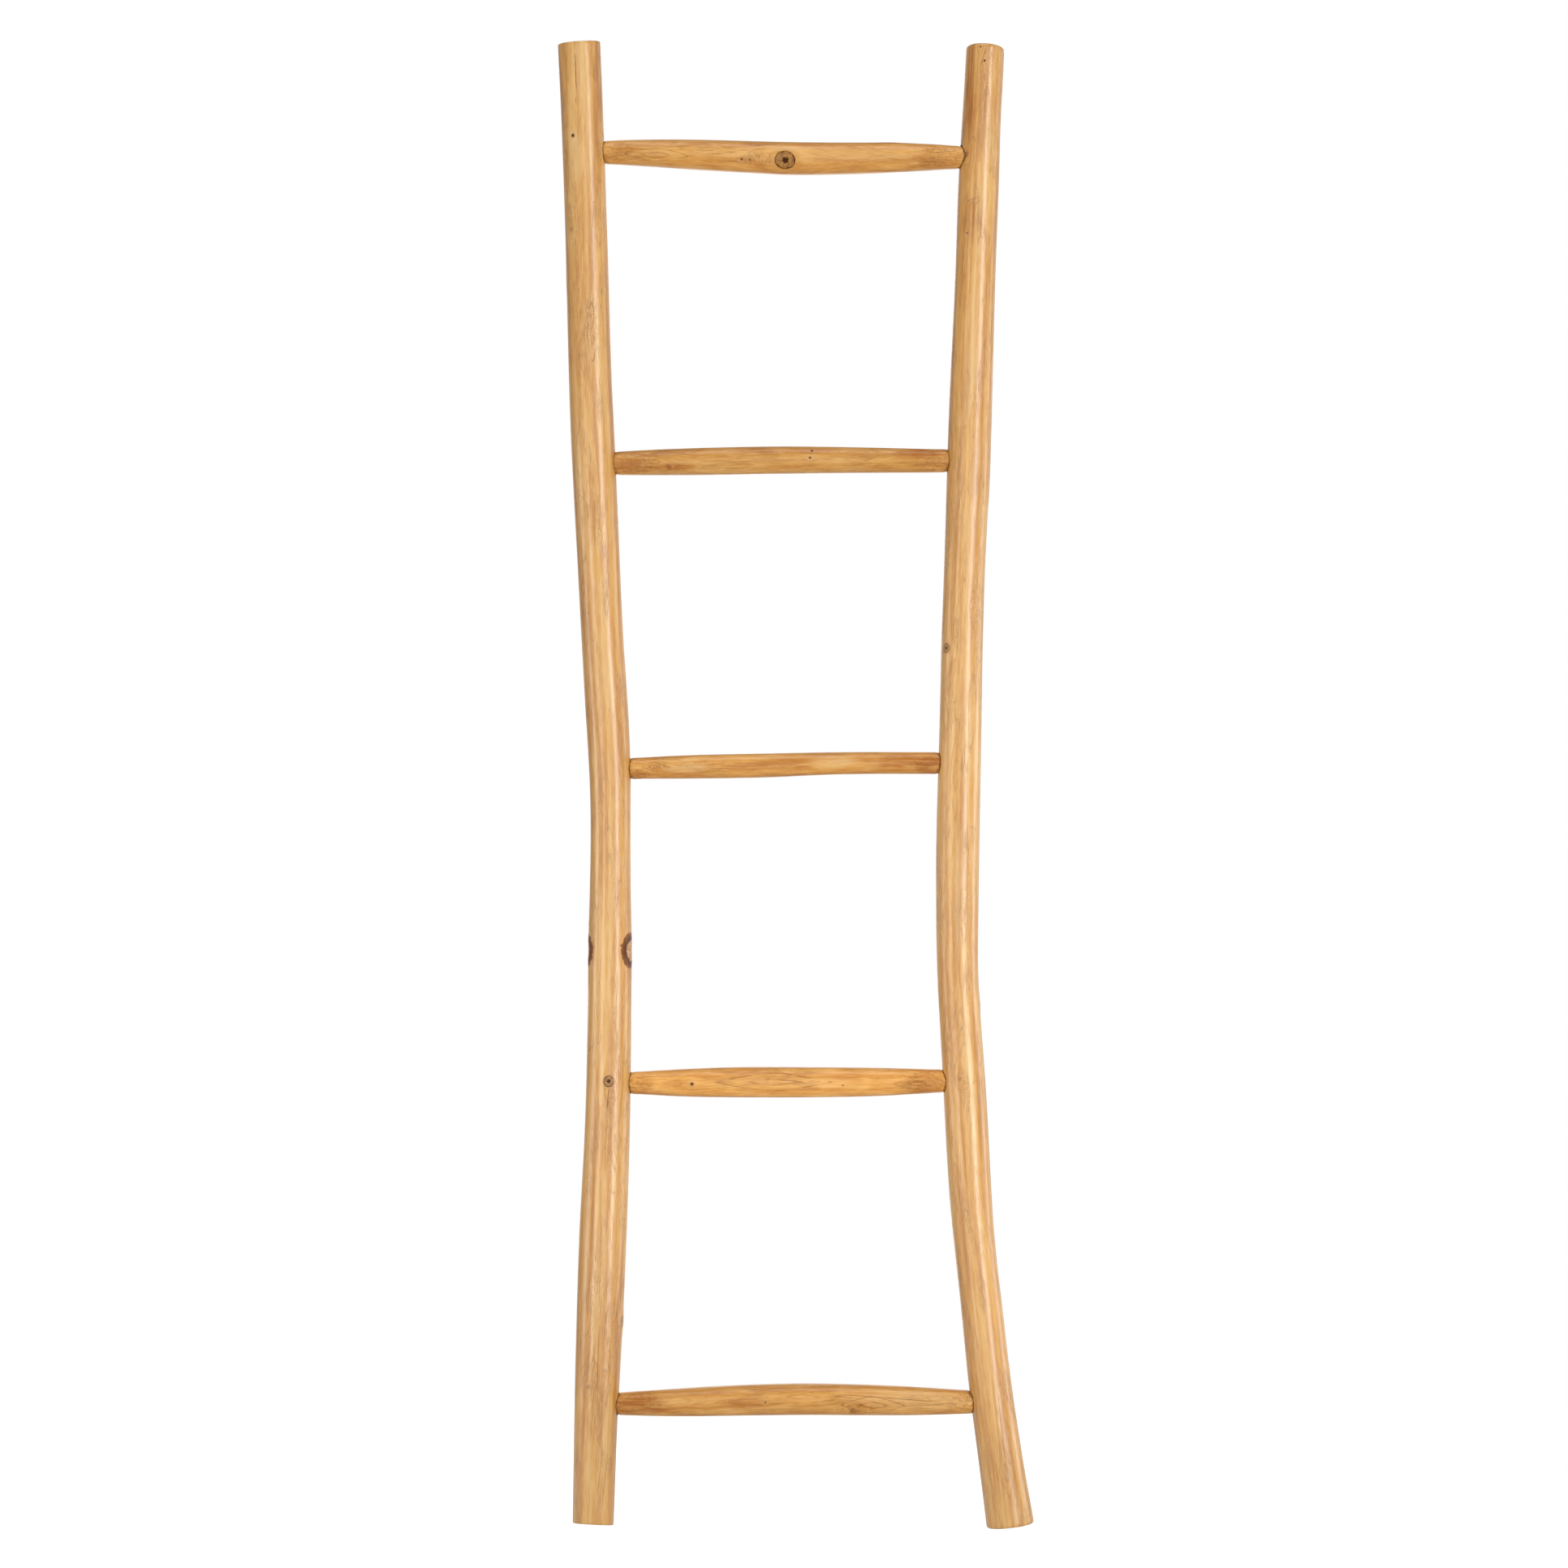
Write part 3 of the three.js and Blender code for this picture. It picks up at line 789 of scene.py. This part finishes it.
class Graph:
    """Short ways to add shader nodes to a new material or world and to join them."""

    def __init__(self, owner):
        owner.use_nodes = True
        self.owner = owner
        self.tree = owner.node_tree
        self.tree.nodes.clear()

    def node(self, kind, inputs, **settings):
        """A shader node with its settings, each input joined to a socket or set to a value."""
        node = self.tree.nodes.new("ShaderNode" + kind)
        for setting, value in settings.items():
            setattr(node, setting, value)
        for key, value in inputs.items():
            if isinstance(value, bpy.types.NodeSocket):
                self.tree.links.new(value, node.inputs[key])
            else:
                node.inputs[key].default_value = value
        return node

    def attribute(self, name, output="Fac"):
        return self.node("Attribute", {}, attribute_name=name).outputs[output]

    def vector(self, name):
        return self.attribute(name, "Vector")

    def parts(self, vector):
        """The three numbers of a vector."""
        return list(self.node("SeparateXYZ", {0: vector}).outputs)

    def place(self, x, y):
        return self.node("CombineXYZ", {0: x, 1: y}).outputs[0]

    def length(self, vector):
        return self.node("VectorMath", {0: vector}, operation="LENGTH").outputs["Value"]

    def math(self, operation, a, b=0.0):
        return self.node("Math", {0: a, 1: b}, operation=operation).outputs[0]

    def add(self, a, b):
        return self.math("ADD", a, b)

    def times(self, product, *factors):
        for factor in factors:
            product = self.math("MULTIPLY", product, factor)
        return product

    def highest(self, highest, *others):
        for other in others:
            highest = self.math("MAXIMUM", highest, other)
        return highest

    def total(self, *parts):
        """The sum of values, each given with its weight."""
        products = [self.times(value, weight) for value, weight in parts]
        result = products[0]
        for product in products[1:]:
            result = self.add(result, product)
        return result

    def centred(self, value):
        """A value from 0 to 1, brought to between -0.5 and 0.5."""
        return self.math("SUBTRACT", value, 0.5)

    def from_half(self, value):
        return self.math("ABSOLUTE", self.centred(value))

    def from_line(self, value, lines):
        """How many spacings a value is from the nearest of evenly spaced lines, so many to each whole 1."""
        return self.from_half(self.math("FRACT", self.times(value, lines)))

    def fit(self, value, low, high, to_low=0.0, to_high=1.0):
        """A value from low to high, eased to the new range and held at its ends."""
        inputs = {"Value": value, "From Min": low, "From Max": high, "To Min": to_low, "To Max": to_high}
        return self.node("MapRange", inputs, interpolation_type="SMOOTHSTEP").outputs[0]

    def texture(self, place, detail=2.0, roughness=0.5, distortion=0.0):
        """Noise with features about 1 across."""
        shape = {"Scale": 1.0, "Detail": detail, "Roughness": roughness, "Distortion": distortion}
        return self.node("TexNoise", {"Vector": place, **shape}).outputs["Fac"]

    def noise(self, vector, across, along, *shape):
        """Noise with features about so many mm across and along the grain."""
        stretch = (1 / (across * MM), 1 / (across * MM), 1 / (along * MM))
        place = self.node("VectorMath", {0: vector, 1: stretch}, operation="MULTIPLY").outputs[0]
        return self.texture(place, *shape)

    def ramp(self, factor, stops):
        """The colour at a factor, from the colour codes at some places."""
        node = self.node("ValToRGB", {0: factor})
        elements = node.color_ramp.elements
        while len(elements) < len(stops):
            elements.new(0.5)
        for element, (place, code) in zip(elements, stops.items()):
            element.position = place
            element.color = colour(code)
        return node.outputs["Color"]

    def mix(self, factor, below, above):
        """A colour laid over another. A colour is a code or a socket."""
        node = self.node("Mix", {"Factor": factor}, data_type="RGBA")
        for socket, value in ((node.inputs[6], below), (node.inputs[7], above)):
            if isinstance(value, bpy.types.NodeSocket):
                self.tree.links.new(value, socket)
            else:
                socket.default_value = colour(value)
        return node.outputs[2]

    def bump(self, height_mm):
        return self.node("Bump", {"Height": height_mm, "Distance": MM, "Strength": 1.0}).outputs[0]

    def finish(self, inputs):
        """Joins a Principled shader with these inputs to the material's output."""
        shader = self.node("BsdfPrincipled", inputs)
        self.node("OutputMaterial", {"Surface": shader.outputs[0]})
        return self.owner


class Wood(Graph):
    """A side of peeled teak, painted layer by layer. A layer can also lift the surface or make it duller."""

    def __init__(self, name):
        super().__init__(bpy.data.materials.new(name))
        self.wood = self.vector("wood")
        self.streak = self.grain(2.6, 95, 3.0, 0.55, 0.1)
        self.mottle = self.grain(7, 32, 3.0, 0.55, 0.3)
        self.fibre = self.grain(1.1, 17, 2.0, 0.55, 0.2)
        self.patch = self.grain(13, 60)
        self.speck = self.grain(1.1, 1.3, 3.0, 0.65)
        self.broken = self.fit(self.grain(4, 18, 2.0, 0.6), 0.38, 0.54, 0.15, 1.0)
        self.heights = [(self.fibre, 0.02)]
        self.dull = []

    def grain(self, across, along, *shape):
        return self.noise(self.wood, across, along, *shape)

    def paint(self, shade, *shares):
        """Lays a colour over the wood, as strongly as the product of the shares."""
        self.ground = self.mix(self.times(*shares), self.ground, shade)

    def lift(self, share, height_mm):
        self.heights.append((share, height_mm))


def paint_ground(g, shades, streaks, mottling):
    """The colour of the plain wood, from dark to pale."""
    broad = g.grain(10, 240, 2.0, 0.5, 0.2)
    plain = 1 - streaks - mottling
    tone = g.total((broad, plain), (g.streak, streaks), (g.mottle, mottling), (g.centred(g.fibre), 0.3))
    g.ground = g.ramp(tone, dict(zip((0.36, 0.44, 0.5, 0.56, 0.64), shades)))


def paint_stains_and_shade(g):
    """Stains, painted shade on the posts' left sides, and bleached places, with feathered edges."""
    stain_and_shade = g.attribute("stain_and_shade")
    feather = g.fit(g.total((g.streak, 0.6), (g.mottle, 0.4)), 0.36, 0.6, 1.25, 0.45)
    # Browner: stains, and painted shade down the posts' left sides
    g.paint("aa641b", g.highest(stain_and_shade, 0.0), feather)
    g.paint("e8c288", g.highest(g.times(stain_and_shade, -1.0), 0.0), feather)


def paint_rings(g, figure):
    """Growth rings cut by the surface: a few long loops, each a thin wavering brown line."""
    field = g.add(g.grain(16, 110, 1.0, 0.4, 0.6), g.times(g.fibre, 0.012))
    off_line = g.from_line(field, 9)
    rings = g.times(g.fit(off_line, 0.07, 0.02), g.fit(g.patch, 0.42, 0.6))
    g.paint("a86c34", g.fit(off_line, 0.25, 0.0), g.fit(g.patch, 0.36, 0.6), 0.35 * figure)
    g.paint("935512", rings, figure)
    g.lift(rings, -0.06)


def paint_loops(g):
    """Listed loops: thin wavering lines one inside the other, golden inside."""
    edge, lines, golden = g.parts(g.vector("loop"))
    edge = g.add(edge, g.times(g.centred(g.grain(4, 16, 3.0, 0.6)), 0.35))
    inside = g.fit(edge, 1.12, 1.0)
    nested = g.times(g.fit(g.from_line(edge, 1.55), 0.13, 0.05), inside, lines, g.broken)
    g.paint("dca24c", inside, golden)
    g.paint("985610", nested, 0.65)
    g.lift(nested, -0.1)


def paint_wrinkles(g, wrinkles, crinkling):
    """Wrinkles along the grain, in patches: dark hairlines, pale ones that are pale fibres and partly painted
    sparkle, and longer wavering creases.
    """
    hair = g.grain(1.0, 10, 2.0, 0.5, 0.5)
    patches = g.fit(g.patch, 0.38, 0.6, 0.3, 1.0)
    dark_hair = g.times(g.fit(hair, 0.6, 0.68), patches)
    crease = g.fit(g.from_half(g.grain(3.2, 24, 3.0, 0.6, 0.6)), 0.035, 0.005)
    crease = g.times(crease, g.fit(g.patch, 0.47, 0.62))
    # Pale hairlines: pale fibres, and partly a painted sparkle, the bright flecks of a highlight
    g.paint("efd3a8", g.fit(hair, 0.42, 0.32), patches, 0.9 * wrinkles)
    g.paint("a4661f", dark_hair, wrinkles)
    g.paint("985a18", crease, 1.3 * wrinkles)
    g.lift(dark_hair, -0.06)
    g.lift(crease, -0.1)
    g.lift(g.streak, 0.35 * crinkling)
    g.lift(g.times(g.grain(1.1, 14, 2.0, 0.5, 0.4), patches), crinkling)


def paint_scars(g):
    """Torn fibres, browner and wrinkled across the grain."""
    torn = g.times(g.attribute("scar"), g.fit(g.grain(2.2, 3.4, 3.0, 0.65, 0.8), 0.46, 0.64))
    g.paint("965a1c", torn, 0.45)
    g.lift(torn, -0.15)


def paint_eyes(g, distance, wobble, eye):
    """Knots with a warm halo, a tan body with faint rings, a thin dark rim and a dark heart."""
    body = g.times(g.fit(distance, 1.02, 0.92), eye)
    inner_rings = g.times(g.fit(g.math("SINE", g.times(distance, 19)), 0.0, 1.0), body)
    dark_rim = g.times(g.fit(distance, 0.8, 0.95), g.fit(distance, 1.08, 1.0), eye)
    heart = g.times(g.fit(g.add(distance, g.times(g.speck, 0.35)), 0.6, 0.42), eye)
    g.paint("b9803f", g.fit(distance, 2.0, 1.0), eye, 0.3)
    g.paint(g.ramp(g.speck, {0.36: "71431a", 0.48: "9c6a34", 0.62: "b9874b"}), body, 0.9)
    g.paint("7b4a20", inner_rings, 0.12)
    g.paint("401d02", dark_rim, g.fit(wobble, -0.12, 0.12, 0.45, 1.0))
    g.paint("3a1d06", heart, 0.95)
    g.lift(inner_rings, -0.06)
    g.lift(dark_rim, -0.15)
    g.dull += [dark_rim, heart, g.times(body, 0.5)]


def paint_bark(g, distance, bark):
    """Knots with a ragged brown ring, nearly black at its inner edge, round a pale torn heart."""
    ragged = g.add(distance, g.times(g.centred(g.speck), 0.25))
    scab = g.times(g.fit(distance, 1.02, 0.96), bark)
    g.paint(g.ramp(ragged, {0.6: "3e1f04", 0.76: "6b3a0e", 0.94: "8a5420"}), scab)
    core = g.times(g.fit(ragged, 0.62, 0.54), bark)
    g.paint(g.ramp(g.speck, {0.4: "8c5a30", 0.47: "c8935f", 0.56: "dfb286"}), core)
    g.lift(g.times(scab, g.speck), 0.25)
    g.dull.append(scab)


def paint_small_knots(g, knot, distance, wobble, hole, smudge):
    """Holes, each a small dark pit in a pale swirl, and smudges, which are soft blotches."""
    swirl = g.times(g.fit(distance, 3.2, 1.4), hole, g.fit(g.math("SINE", g.times(distance, 6)), -0.4, 0.8))
    pit = g.times(g.fit(distance, 1.0, 0.6), hole)
    blotch = g.fit(g.add(knot, g.times(wobble, 1.6)), 1.3, 0.4)
    pale_ring = g.times(g.fit(distance, 3.4, 2.0), g.fit(distance, 1.1, 1.6))
    g.paint("efd5a8", pale_ring, g.times(hole, g.broken), 0.15)
    g.paint("ae7234", swirl, 0.35)
    g.paint("7c4510", blotch, smudge, g.fit(g.speck, 0.35, 0.6, 0.3, 1.0), 0.85)
    g.paint("4a2204", pit, 0.95)
    g.lift(pit, -0.3)
    g.dull.append(pit)


def paint_knots(g):
    """All the knots. How far the surface is from its nearest knot is wobbled by the wood."""
    knot = g.length(g.vector("knot"))
    wobble = g.centred(g.grain(3, 4))
    distance = g.add(knot, g.times(wobble, 0.3))
    eye, hole, smudge = g.parts(g.vector("knot_look"))
    paint_eyes(g, distance, wobble, eye)
    paint_bark(g, distance, g.attribute("knot_bark"))
    paint_small_knots(g, knot, distance, wobble, hole, smudge)


def paint_cracks(g):
    """Dark lines that thin out at their ends."""
    across, along, strength = g.parts(g.vector("crack"))
    wander = g.times(g.centred(g.grain(2, 9)), 1.6)
    away = g.math("ABSOLUTE", g.add(across, wander))
    taper = g.fit(g.math("ABSOLUTE", along), 1.0, 0.55)
    line = g.times(g.fit(away, 0.75, 0.2), taper, strength)
    g.paint("562a04", line)
    g.lift(line, -0.25)
    g.dull.append(line)


def paint_grime_and_shade(g):
    """Grime round the joints, and painted shade in the crevices where the tenons enter their sockets."""
    grime_and_shade = g.add(g.attribute("grime_and_shade"), g.times(g.centred(g.mottle), 2.2))
    grime_and_shade = g.fit(grime_and_shade, 0.45, 1.05)
    # Dark brown where a socket wall and a rung meet: partly grime, partly painted shade of the crevice
    g.paint("5d2f08", grime_and_shade, 0.7)
    g.dull.append(grime_and_shade)


def teak(name, shades, streaks, mottling, figure, wrinkles, crinkling, gloss, roughest, lacquer):
    """Peeled teak under clear lacquer. shades run from the darkest parts to the palest. The rest is how
    strongly it is streaked along the grain, mottled, figured by growth rings and lined by fine wrinkles, and
    how many mm its surface crinkles. gloss is the shader's specular level, roughest its highest roughness,
    and lacquer the weight of its clear coat."""
    g = Wood(name)
    paint_ground(g, shades, streaks, mottling)
    paint_stains_and_shade(g)
    paint_rings(g, figure)
    paint_loops(g)
    paint_wrinkles(g, wrinkles, crinkling)
    paint_scars(g)
    paint_knots(g)
    paint_cracks(g)
    paint_grime_and_shade(g)

    # The dark marks are duller than the lacquered wood, and shine brown.
    dull = g.highest(*g.dull)
    roughness = g.fit(g.total((g.fibre, 0.5), (g.streak, 0.5)), 0.3, 0.7, 0.8 * roughest, roughest)
    return g.finish(
        {
            "Base Color": g.ground,
            "Roughness": g.highest(roughness, g.times(dull, 0.5)),
            "Specular IOR Level": gloss,
            "Specular Tint": g.mix(g.times(dull, 0.85), "ffffff", "6b3a14"),
            "Coat Weight": lacquer,
            "Coat Roughness": COAT_ROUGHNESS,
            "Normal": g.bump(g.total(*g.heights)),
        }
    )


def end_grain(name, shades):
    """The sawn end of a teak branch: growth rings, rays, pores, fine checks, a dark pith and saw marks."""
    g = Graph(bpy.data.materials.new(name))
    x, y, _ = g.parts(g.vector("wood"))
    flat = g.place(x, y)
    turn = g.math("ARCTAN2", x, y)
    wobble = g.times(g.centred(g.noise(flat, 11, 11)), 3.4 * MM)
    distance = g.add(g.length(flat), wobble)

    ring = g.math("FRACT", g.times(distance, 1 / (2.3 * MM)))
    ring_edge = g.times(g.fit(ring, 0.3, 0.92), g.fit(ring, 1.0, 0.93))
    rays = g.fit(g.texture(g.place(g.times(turn, 34.0), g.times(distance, 120.0))), 0.55, 0.7)
    pores = g.fit(g.noise(flat, 0.6, 0.6, 1.0), 0.62, 0.7)
    check = g.from_half(g.texture(g.place(g.times(turn, 1.7), g.times(distance, 25.0)), 1.0))
    check = g.times(g.fit(check, 0.012, 0.003), g.fit(distance, 2 * MM, 6 * MM))
    pith = g.fit(distance, 2.4 * MM, 1.2 * MM)
    dark = g.highest(check, pith)
    saw = g.texture(g.place(g.times(x, 900.0), g.times(y, 60.0)))

    ground = g.ramp(g.noise(flat, 7, 7, 3.0), dict(zip((0.3, 0.5, 0.7), shades)))
    for share, code in (
        (g.times(ring_edge, 0.55), "7d4f26"),
        (g.times(rays, 0.3), "d9b184"),
        (g.times(pores, 0.5), "5b3819"),
        (g.times(dark, 0.85), "3a2210"),
    ):
        ground = g.mix(share, ground, code)
    height = g.total((saw, 0.16), (pores, -0.08), (dark, -0.25), (ring_edge, 0.05))
    return g.finish(
        {
            "Base Color": ground,
            "Roughness": 0.62,
            "Normal": g.bump(height),
            "Coat Weight": 0.08,
            "Coat Roughness": 0.4,
        }
    )


def bright_steel():
    """The head of a driven brad: drawn steel with hammer marks and a little tarnish."""
    g = Graph(bpy.data.materials.new("brad_steel"))
    place = g.node("TexCoord", {}).outputs["Object"]
    dents = g.noise(place, 0.9, 0.9, 3.0)
    tarnish = g.noise(place, 2.5, 2.5, 4.0, 0.65)
    return g.finish(
        {
            "Base Color": g.ramp(tarnish, {0.35: "b9b8b3", 0.55: "a3a19b", 0.75: "7f766b"}),
            "Metallic": 1.0,
            "Roughness": g.fit(tarnish, 0.3, 0.7, 0.26, 0.5),
            "Normal": g.bump(g.times(dents, 0.05)),
        }
    )


# ---- Wooden pieces


def dress(piece, side_material, end_material, branch):
    """Gives the sides and the sawn ends their materials, and shades the piece smoothly."""
    mesh = piece.data
    mesh.materials.clear()
    mesh.materials.append(side_material)
    mesh.materials.append(end_material)
    count = len(mesh.polygons)
    normals = np.zeros(count * 3)
    centres = np.zeros(count * 3)
    mesh.polygons.foreach_get("normal", normals)
    mesh.polygons.foreach_get("center", centres)
    facing = np.abs(normals.reshape(-1, 3)[:, branch.axis])
    at = centres.reshape(-1, 3)[:, branch.axis]
    low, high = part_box(branch.node)
    by_end = np.minimum(at - low[branch.axis], high[branch.axis] - at) < 9 * MM
    mesh.polygons.foreach_set("material_index", ((facing > 0.92) & by_end).astype(np.int32))
    mesh.polygons.foreach_set("use_smooth", np.ones(count, bool))
    mesh.set_sharp_from_angle(angle=np.radians(38))
    mesh.update()


def settle(piece, node):
    """Hangs a piece under the root body and hides the CAD node that it stands for."""
    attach(piece, "root")
    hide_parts(node)


def post_branch(node):
    """A post's line, read every 24.5 mm of its height but not where a socket breaks its outline."""
    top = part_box(node)[1].z
    heights = np.arange(12 * MM, top - 8 * MM, 24.5 * MM)
    clear = np.ones(len(heights), bool)
    for rung in RUNGS:
        low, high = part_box(rung)
        clear &= (heights < low.z - 2 * MM) | (heights > high.z + 2 * MM)
    return Branch(node, UP, ACROSS, heights[clear])


def rung_branch(node):
    """A rung's line, read at 17 places."""
    low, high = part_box(node)
    return Branch(node, ACROSS, UP, np.linspace(low.x + 2 * MM, high.x - 2 * MM, 17))


def slanted(points, branch, foot, top):
    """Tilts the two ends of a post to its saw cuts. The slant dies away within END_FADE of the cut."""
    low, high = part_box(branch.node)
    height = points[..., UP].copy()
    for (centre, to_right, to_back), level, towards in ((foot, low.z, 1), (top, high.z, -1)):
        across, depth = points[..., ACROSS], points[..., DEPTH]
        cut = centre.z + to_right * (across - centre.x) + to_back * (depth - centre.y)
        near = 1 - ease(towards * (height - level) / END_FADE)
        points[..., UP] += near * (cut - level)
    return points


def make_post(post, side, marks, rungs, seed, materials):
    """A post with its sockets and brad holes. The side is -1 for the left post and 1 for the right one."""
    rng = np.random.default_rng(seed)
    low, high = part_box(post.node)
    rows = rings_of(post, low.z, high.z, POST_RINGS, POST_ROUND[post.node], POST_CAP_RINGS)
    at, turn = grid(rows, POST_SEGMENTS)
    full = post.radius(at)
    relief = carve(rng, at, turn, full, marks, 1.0)
    points = post.points(at, turn, rows[:, 1:] + relief * (rows[:, 1:] / full))
    points = slanted(points, post, end_plane(post.node, upwards=False), end_plane(post.node, upwards=True))
    piece = closed_branch(post.node, points, flip=False)

    end = 0 if side < 0 else 1
    end_name = ("left", "right")[end]
    bore(piece, [socket_cutter(rng, rung, side, SOCKET_CHIPS[rung.node][end]) for rung in rungs])
    bore(piece, [brad_cutter(f"brad_{number}_{end_name}") for number in range(1, len(rungs) + 1)])

    def grime_and_shade_of(points):
        """Grime and painted shade from 0 to 1: most at a socket's shaded wall, and none at its bottom."""
        result = np.zeros(len(points))
        for rung in rungs:
            tenon_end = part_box(rung.node)[end].x
            off = rung.clearance(points) - SOCKET_GAP
            outer = ease(side * (tenon_end - points[:, ACROSS]) / SOCKET_FADE)
            result = np.maximum(result, np.exp(-np.maximum(off, 0) / GRIME_AND_SHADE_REACH) * outer)
        return result

    describe_wood(piece.data, post, marks, grime_and_shade_of, spiral=0.25 * side, origin=seed * 0.7)
    dress(piece, *materials, post)
    settle(piece, post.node)


def make_rung(rung, number, posts, materials):
    """A rung with its tenons and brad holes."""
    node = rung.node
    rng = np.random.default_rng(40 + number)
    low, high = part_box(node)
    marks = (RUNG_KNOTS[node], RUNG_CRACKS[node], RUNG_SCARS[node], RUNG_LOOPS[node], RUNG_STAINS[node])
    rows = rings_of(rung, low.x, high.x, RUNG_RINGS, RUNG_ROUND, RUNG_CAP_RINGS)
    at, turn = grid(rows, RUNG_SEGMENTS)
    full = rung.radius(at)
    relief = carve(rng, at, turn, full, marks, 0.9)
    # The tenons are turned true, so that they fit their sockets, and their shoulders are rounded.
    from_end = np.minimum(at - low.x, high.x - at)
    relief *= ease((from_end - PLAIN_END) / RELIEF_FADE)
    plain = rung.points(at, turn, full)
    for post in posts:
        relief -= SHOULDER_DEPTH * np.exp(-((post.clearance(plain) / SHOULDER_WIDTH) ** 2))
    points = rung.points(at, turn, rows[:, 1:] + relief * (rows[:, 1:] / full))
    piece = closed_branch(node, points, flip=True)
    bore(piece, [brad_cutter(f"brad_{number}_{end}") for end in ("left", "right")])

    def grime_and_shade_of(points):
        """Grime and painted shade from 0 to 1: most where the rung meets a post."""
        return np.maximum(*[np.exp(-np.maximum(post.clearance(points), 0) / GRIME_AND_SHADE_REACH) for post in posts])

    describe_wood(piece.data, rung, marks, grime_and_shade_of, spiral=0.5 - 0.2 * number, origin=3.1 * number)
    dress(piece, *materials, rung)
    settle(piece, node)


# ---- Camera, lights and floor


def add_camera():
    """Level, straight in front, framing the ladder with a margin all round."""
    low, high = cad_box
    data = bpy.data.cameras.new("camera")
    data.sensor_width = 36
    data.lens = data.sensor_width * CAMERA_DISTANCE / CAMERA_VIEW
    data.clip_end = 200
    camera = new_object("camera", data)
    middle = (low + high) / 2
    camera.location = (middle.x + CAMERA_ASIDE, middle.y - CAMERA_DISTANCE, low.z + CAMERA_HEIGHT)
    camera.rotation_euler = (np.pi / 2, 0, 0)
    bpy.context.scene.camera = camera


def add_panel(name, azimuth, elevation, distance, width, height, power, tint):
    """A soft light, as PANELS describes it."""
    low, high = cad_box
    aim = (low + high) / 2
    turn, lift = np.radians(azimuth), np.radians(elevation)
    away = Vector((np.sin(turn) * np.cos(lift), -np.cos(turn) * np.cos(lift), np.sin(lift)))
    data = bpy.data.lights.new(name, "AREA")
    data.shape = "RECTANGLE"
    data.size = width
    data.size_y = height
    data.energy = power
    data.color = tint
    panel = new_object(name, data)
    panel.location = aim + away * distance
    panel.rotation_euler = (-away).to_track_quat("-Z", "Y").to_euler()


def add_floor():
    """A pale round floor, mostly self-lit so that it stays as pale as the background all over."""
    low, high = cad_box
    mesh = bpy.data.meshes.new("floor")
    bm = bmesh.new()
    bmesh.ops.create_circle(bm, cap_ends=True, segments=96, radius=FLOOR_RADIUS)
    bmesh.ops.translate(bm, verts=bm.verts, vec=(0, 0, low.z - 0.3 * MM))
    bm.to_mesh(mesh)
    bm.free()
    g = Graph(bpy.data.materials.new("floor_white"))
    seen = g.node("LightPath", {}).outputs["Is Camera Ray"]
    floor_white = g.finish(
        {
            "Base Color": (0.15, 0.15, 0.15, 1),
            "Roughness": 0.9,
            "Emission Color": (1, 1, 1, 1),
            "Emission Strength": g.fit(seen, 0, 1, FLOOR_FILL, 1.0),
        }
    )
    mesh.materials.append(floor_white)
    new_object("floor", mesh)


def add_world():
    """A white studio: seen as plain white, and a softer fill on the ladder."""
    g = Graph(bpy.data.worlds.new("studio"))
    seen = g.node("LightPath", {}).outputs["Is Camera Ray"]
    light = {"Color": (1, 1, 1, 1), "Strength": g.fit(seen, 0, 1, STUDIO_FILL, 1.0)}
    g.node("OutputWorld", {"Surface": g.node("Background", light).outputs[0]})
    bpy.context.scene.world = g.owner


# ---- The scene

add_camera()

post_wood = teak(
    "post_teak",
    POST_SHADES,
    streaks=0.3,
    mottling=0.15,
    figure=0.3,
    wrinkles=0.26,
    crinkling=0.12,
    gloss=0.9,
    roughest=0.36,
    lacquer=0.4,
)
sawn_wood = end_grain("sawn_end", SAWN_SHADES)
steel = bright_steel()

rung_lines = [rung_branch(node) for node in RUNGS]
post_lines = [post_branch(node) for node in ("left_post", "right_post")]
left_marks = (LEFT_KNOTS, LEFT_CRACKS, LEFT_SCARS, LEFT_LOOPS, LEFT_STAINS_AND_SHADE)
right_marks = (RIGHT_KNOTS, RIGHT_CRACKS, RIGHT_SCARS, RIGHT_LOOPS, RIGHT_STAINS_AND_SHADE)
make_post(post_lines[0], -1, left_marks, rung_lines, 11, (post_wood, sawn_wood))
make_post(post_lines[1], 1, right_marks, rung_lines, 12, (post_wood, sawn_wood))
for number, rung in enumerate(rung_lines, start=1):
    rung_wood = teak(
        f"rung_{number}_teak",
        brighter(RUNG_SHADES, RUNG_BRIGHTNESS[rung.node]),
        streaks=0.2,
        mottling=0.4,
        figure=0.15,
        wrinkles=0.2,
        crinkling=0.12,
        gloss=0.4,
        roughest=0.34,
        lacquer=0.0,
    )
    make_rung(rung, number, post_lines, (rung_wood, sawn_wood))

for name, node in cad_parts.items():
    if name.startswith("brad_"):
        node.data.materials.clear()
        node.data.materials.append(steel)

add_floor()
add_world()
for name, settings in PANELS.items():
    add_panel(name, *settings)

bpy.context.scene.view_settings.view_transform = "Standard"
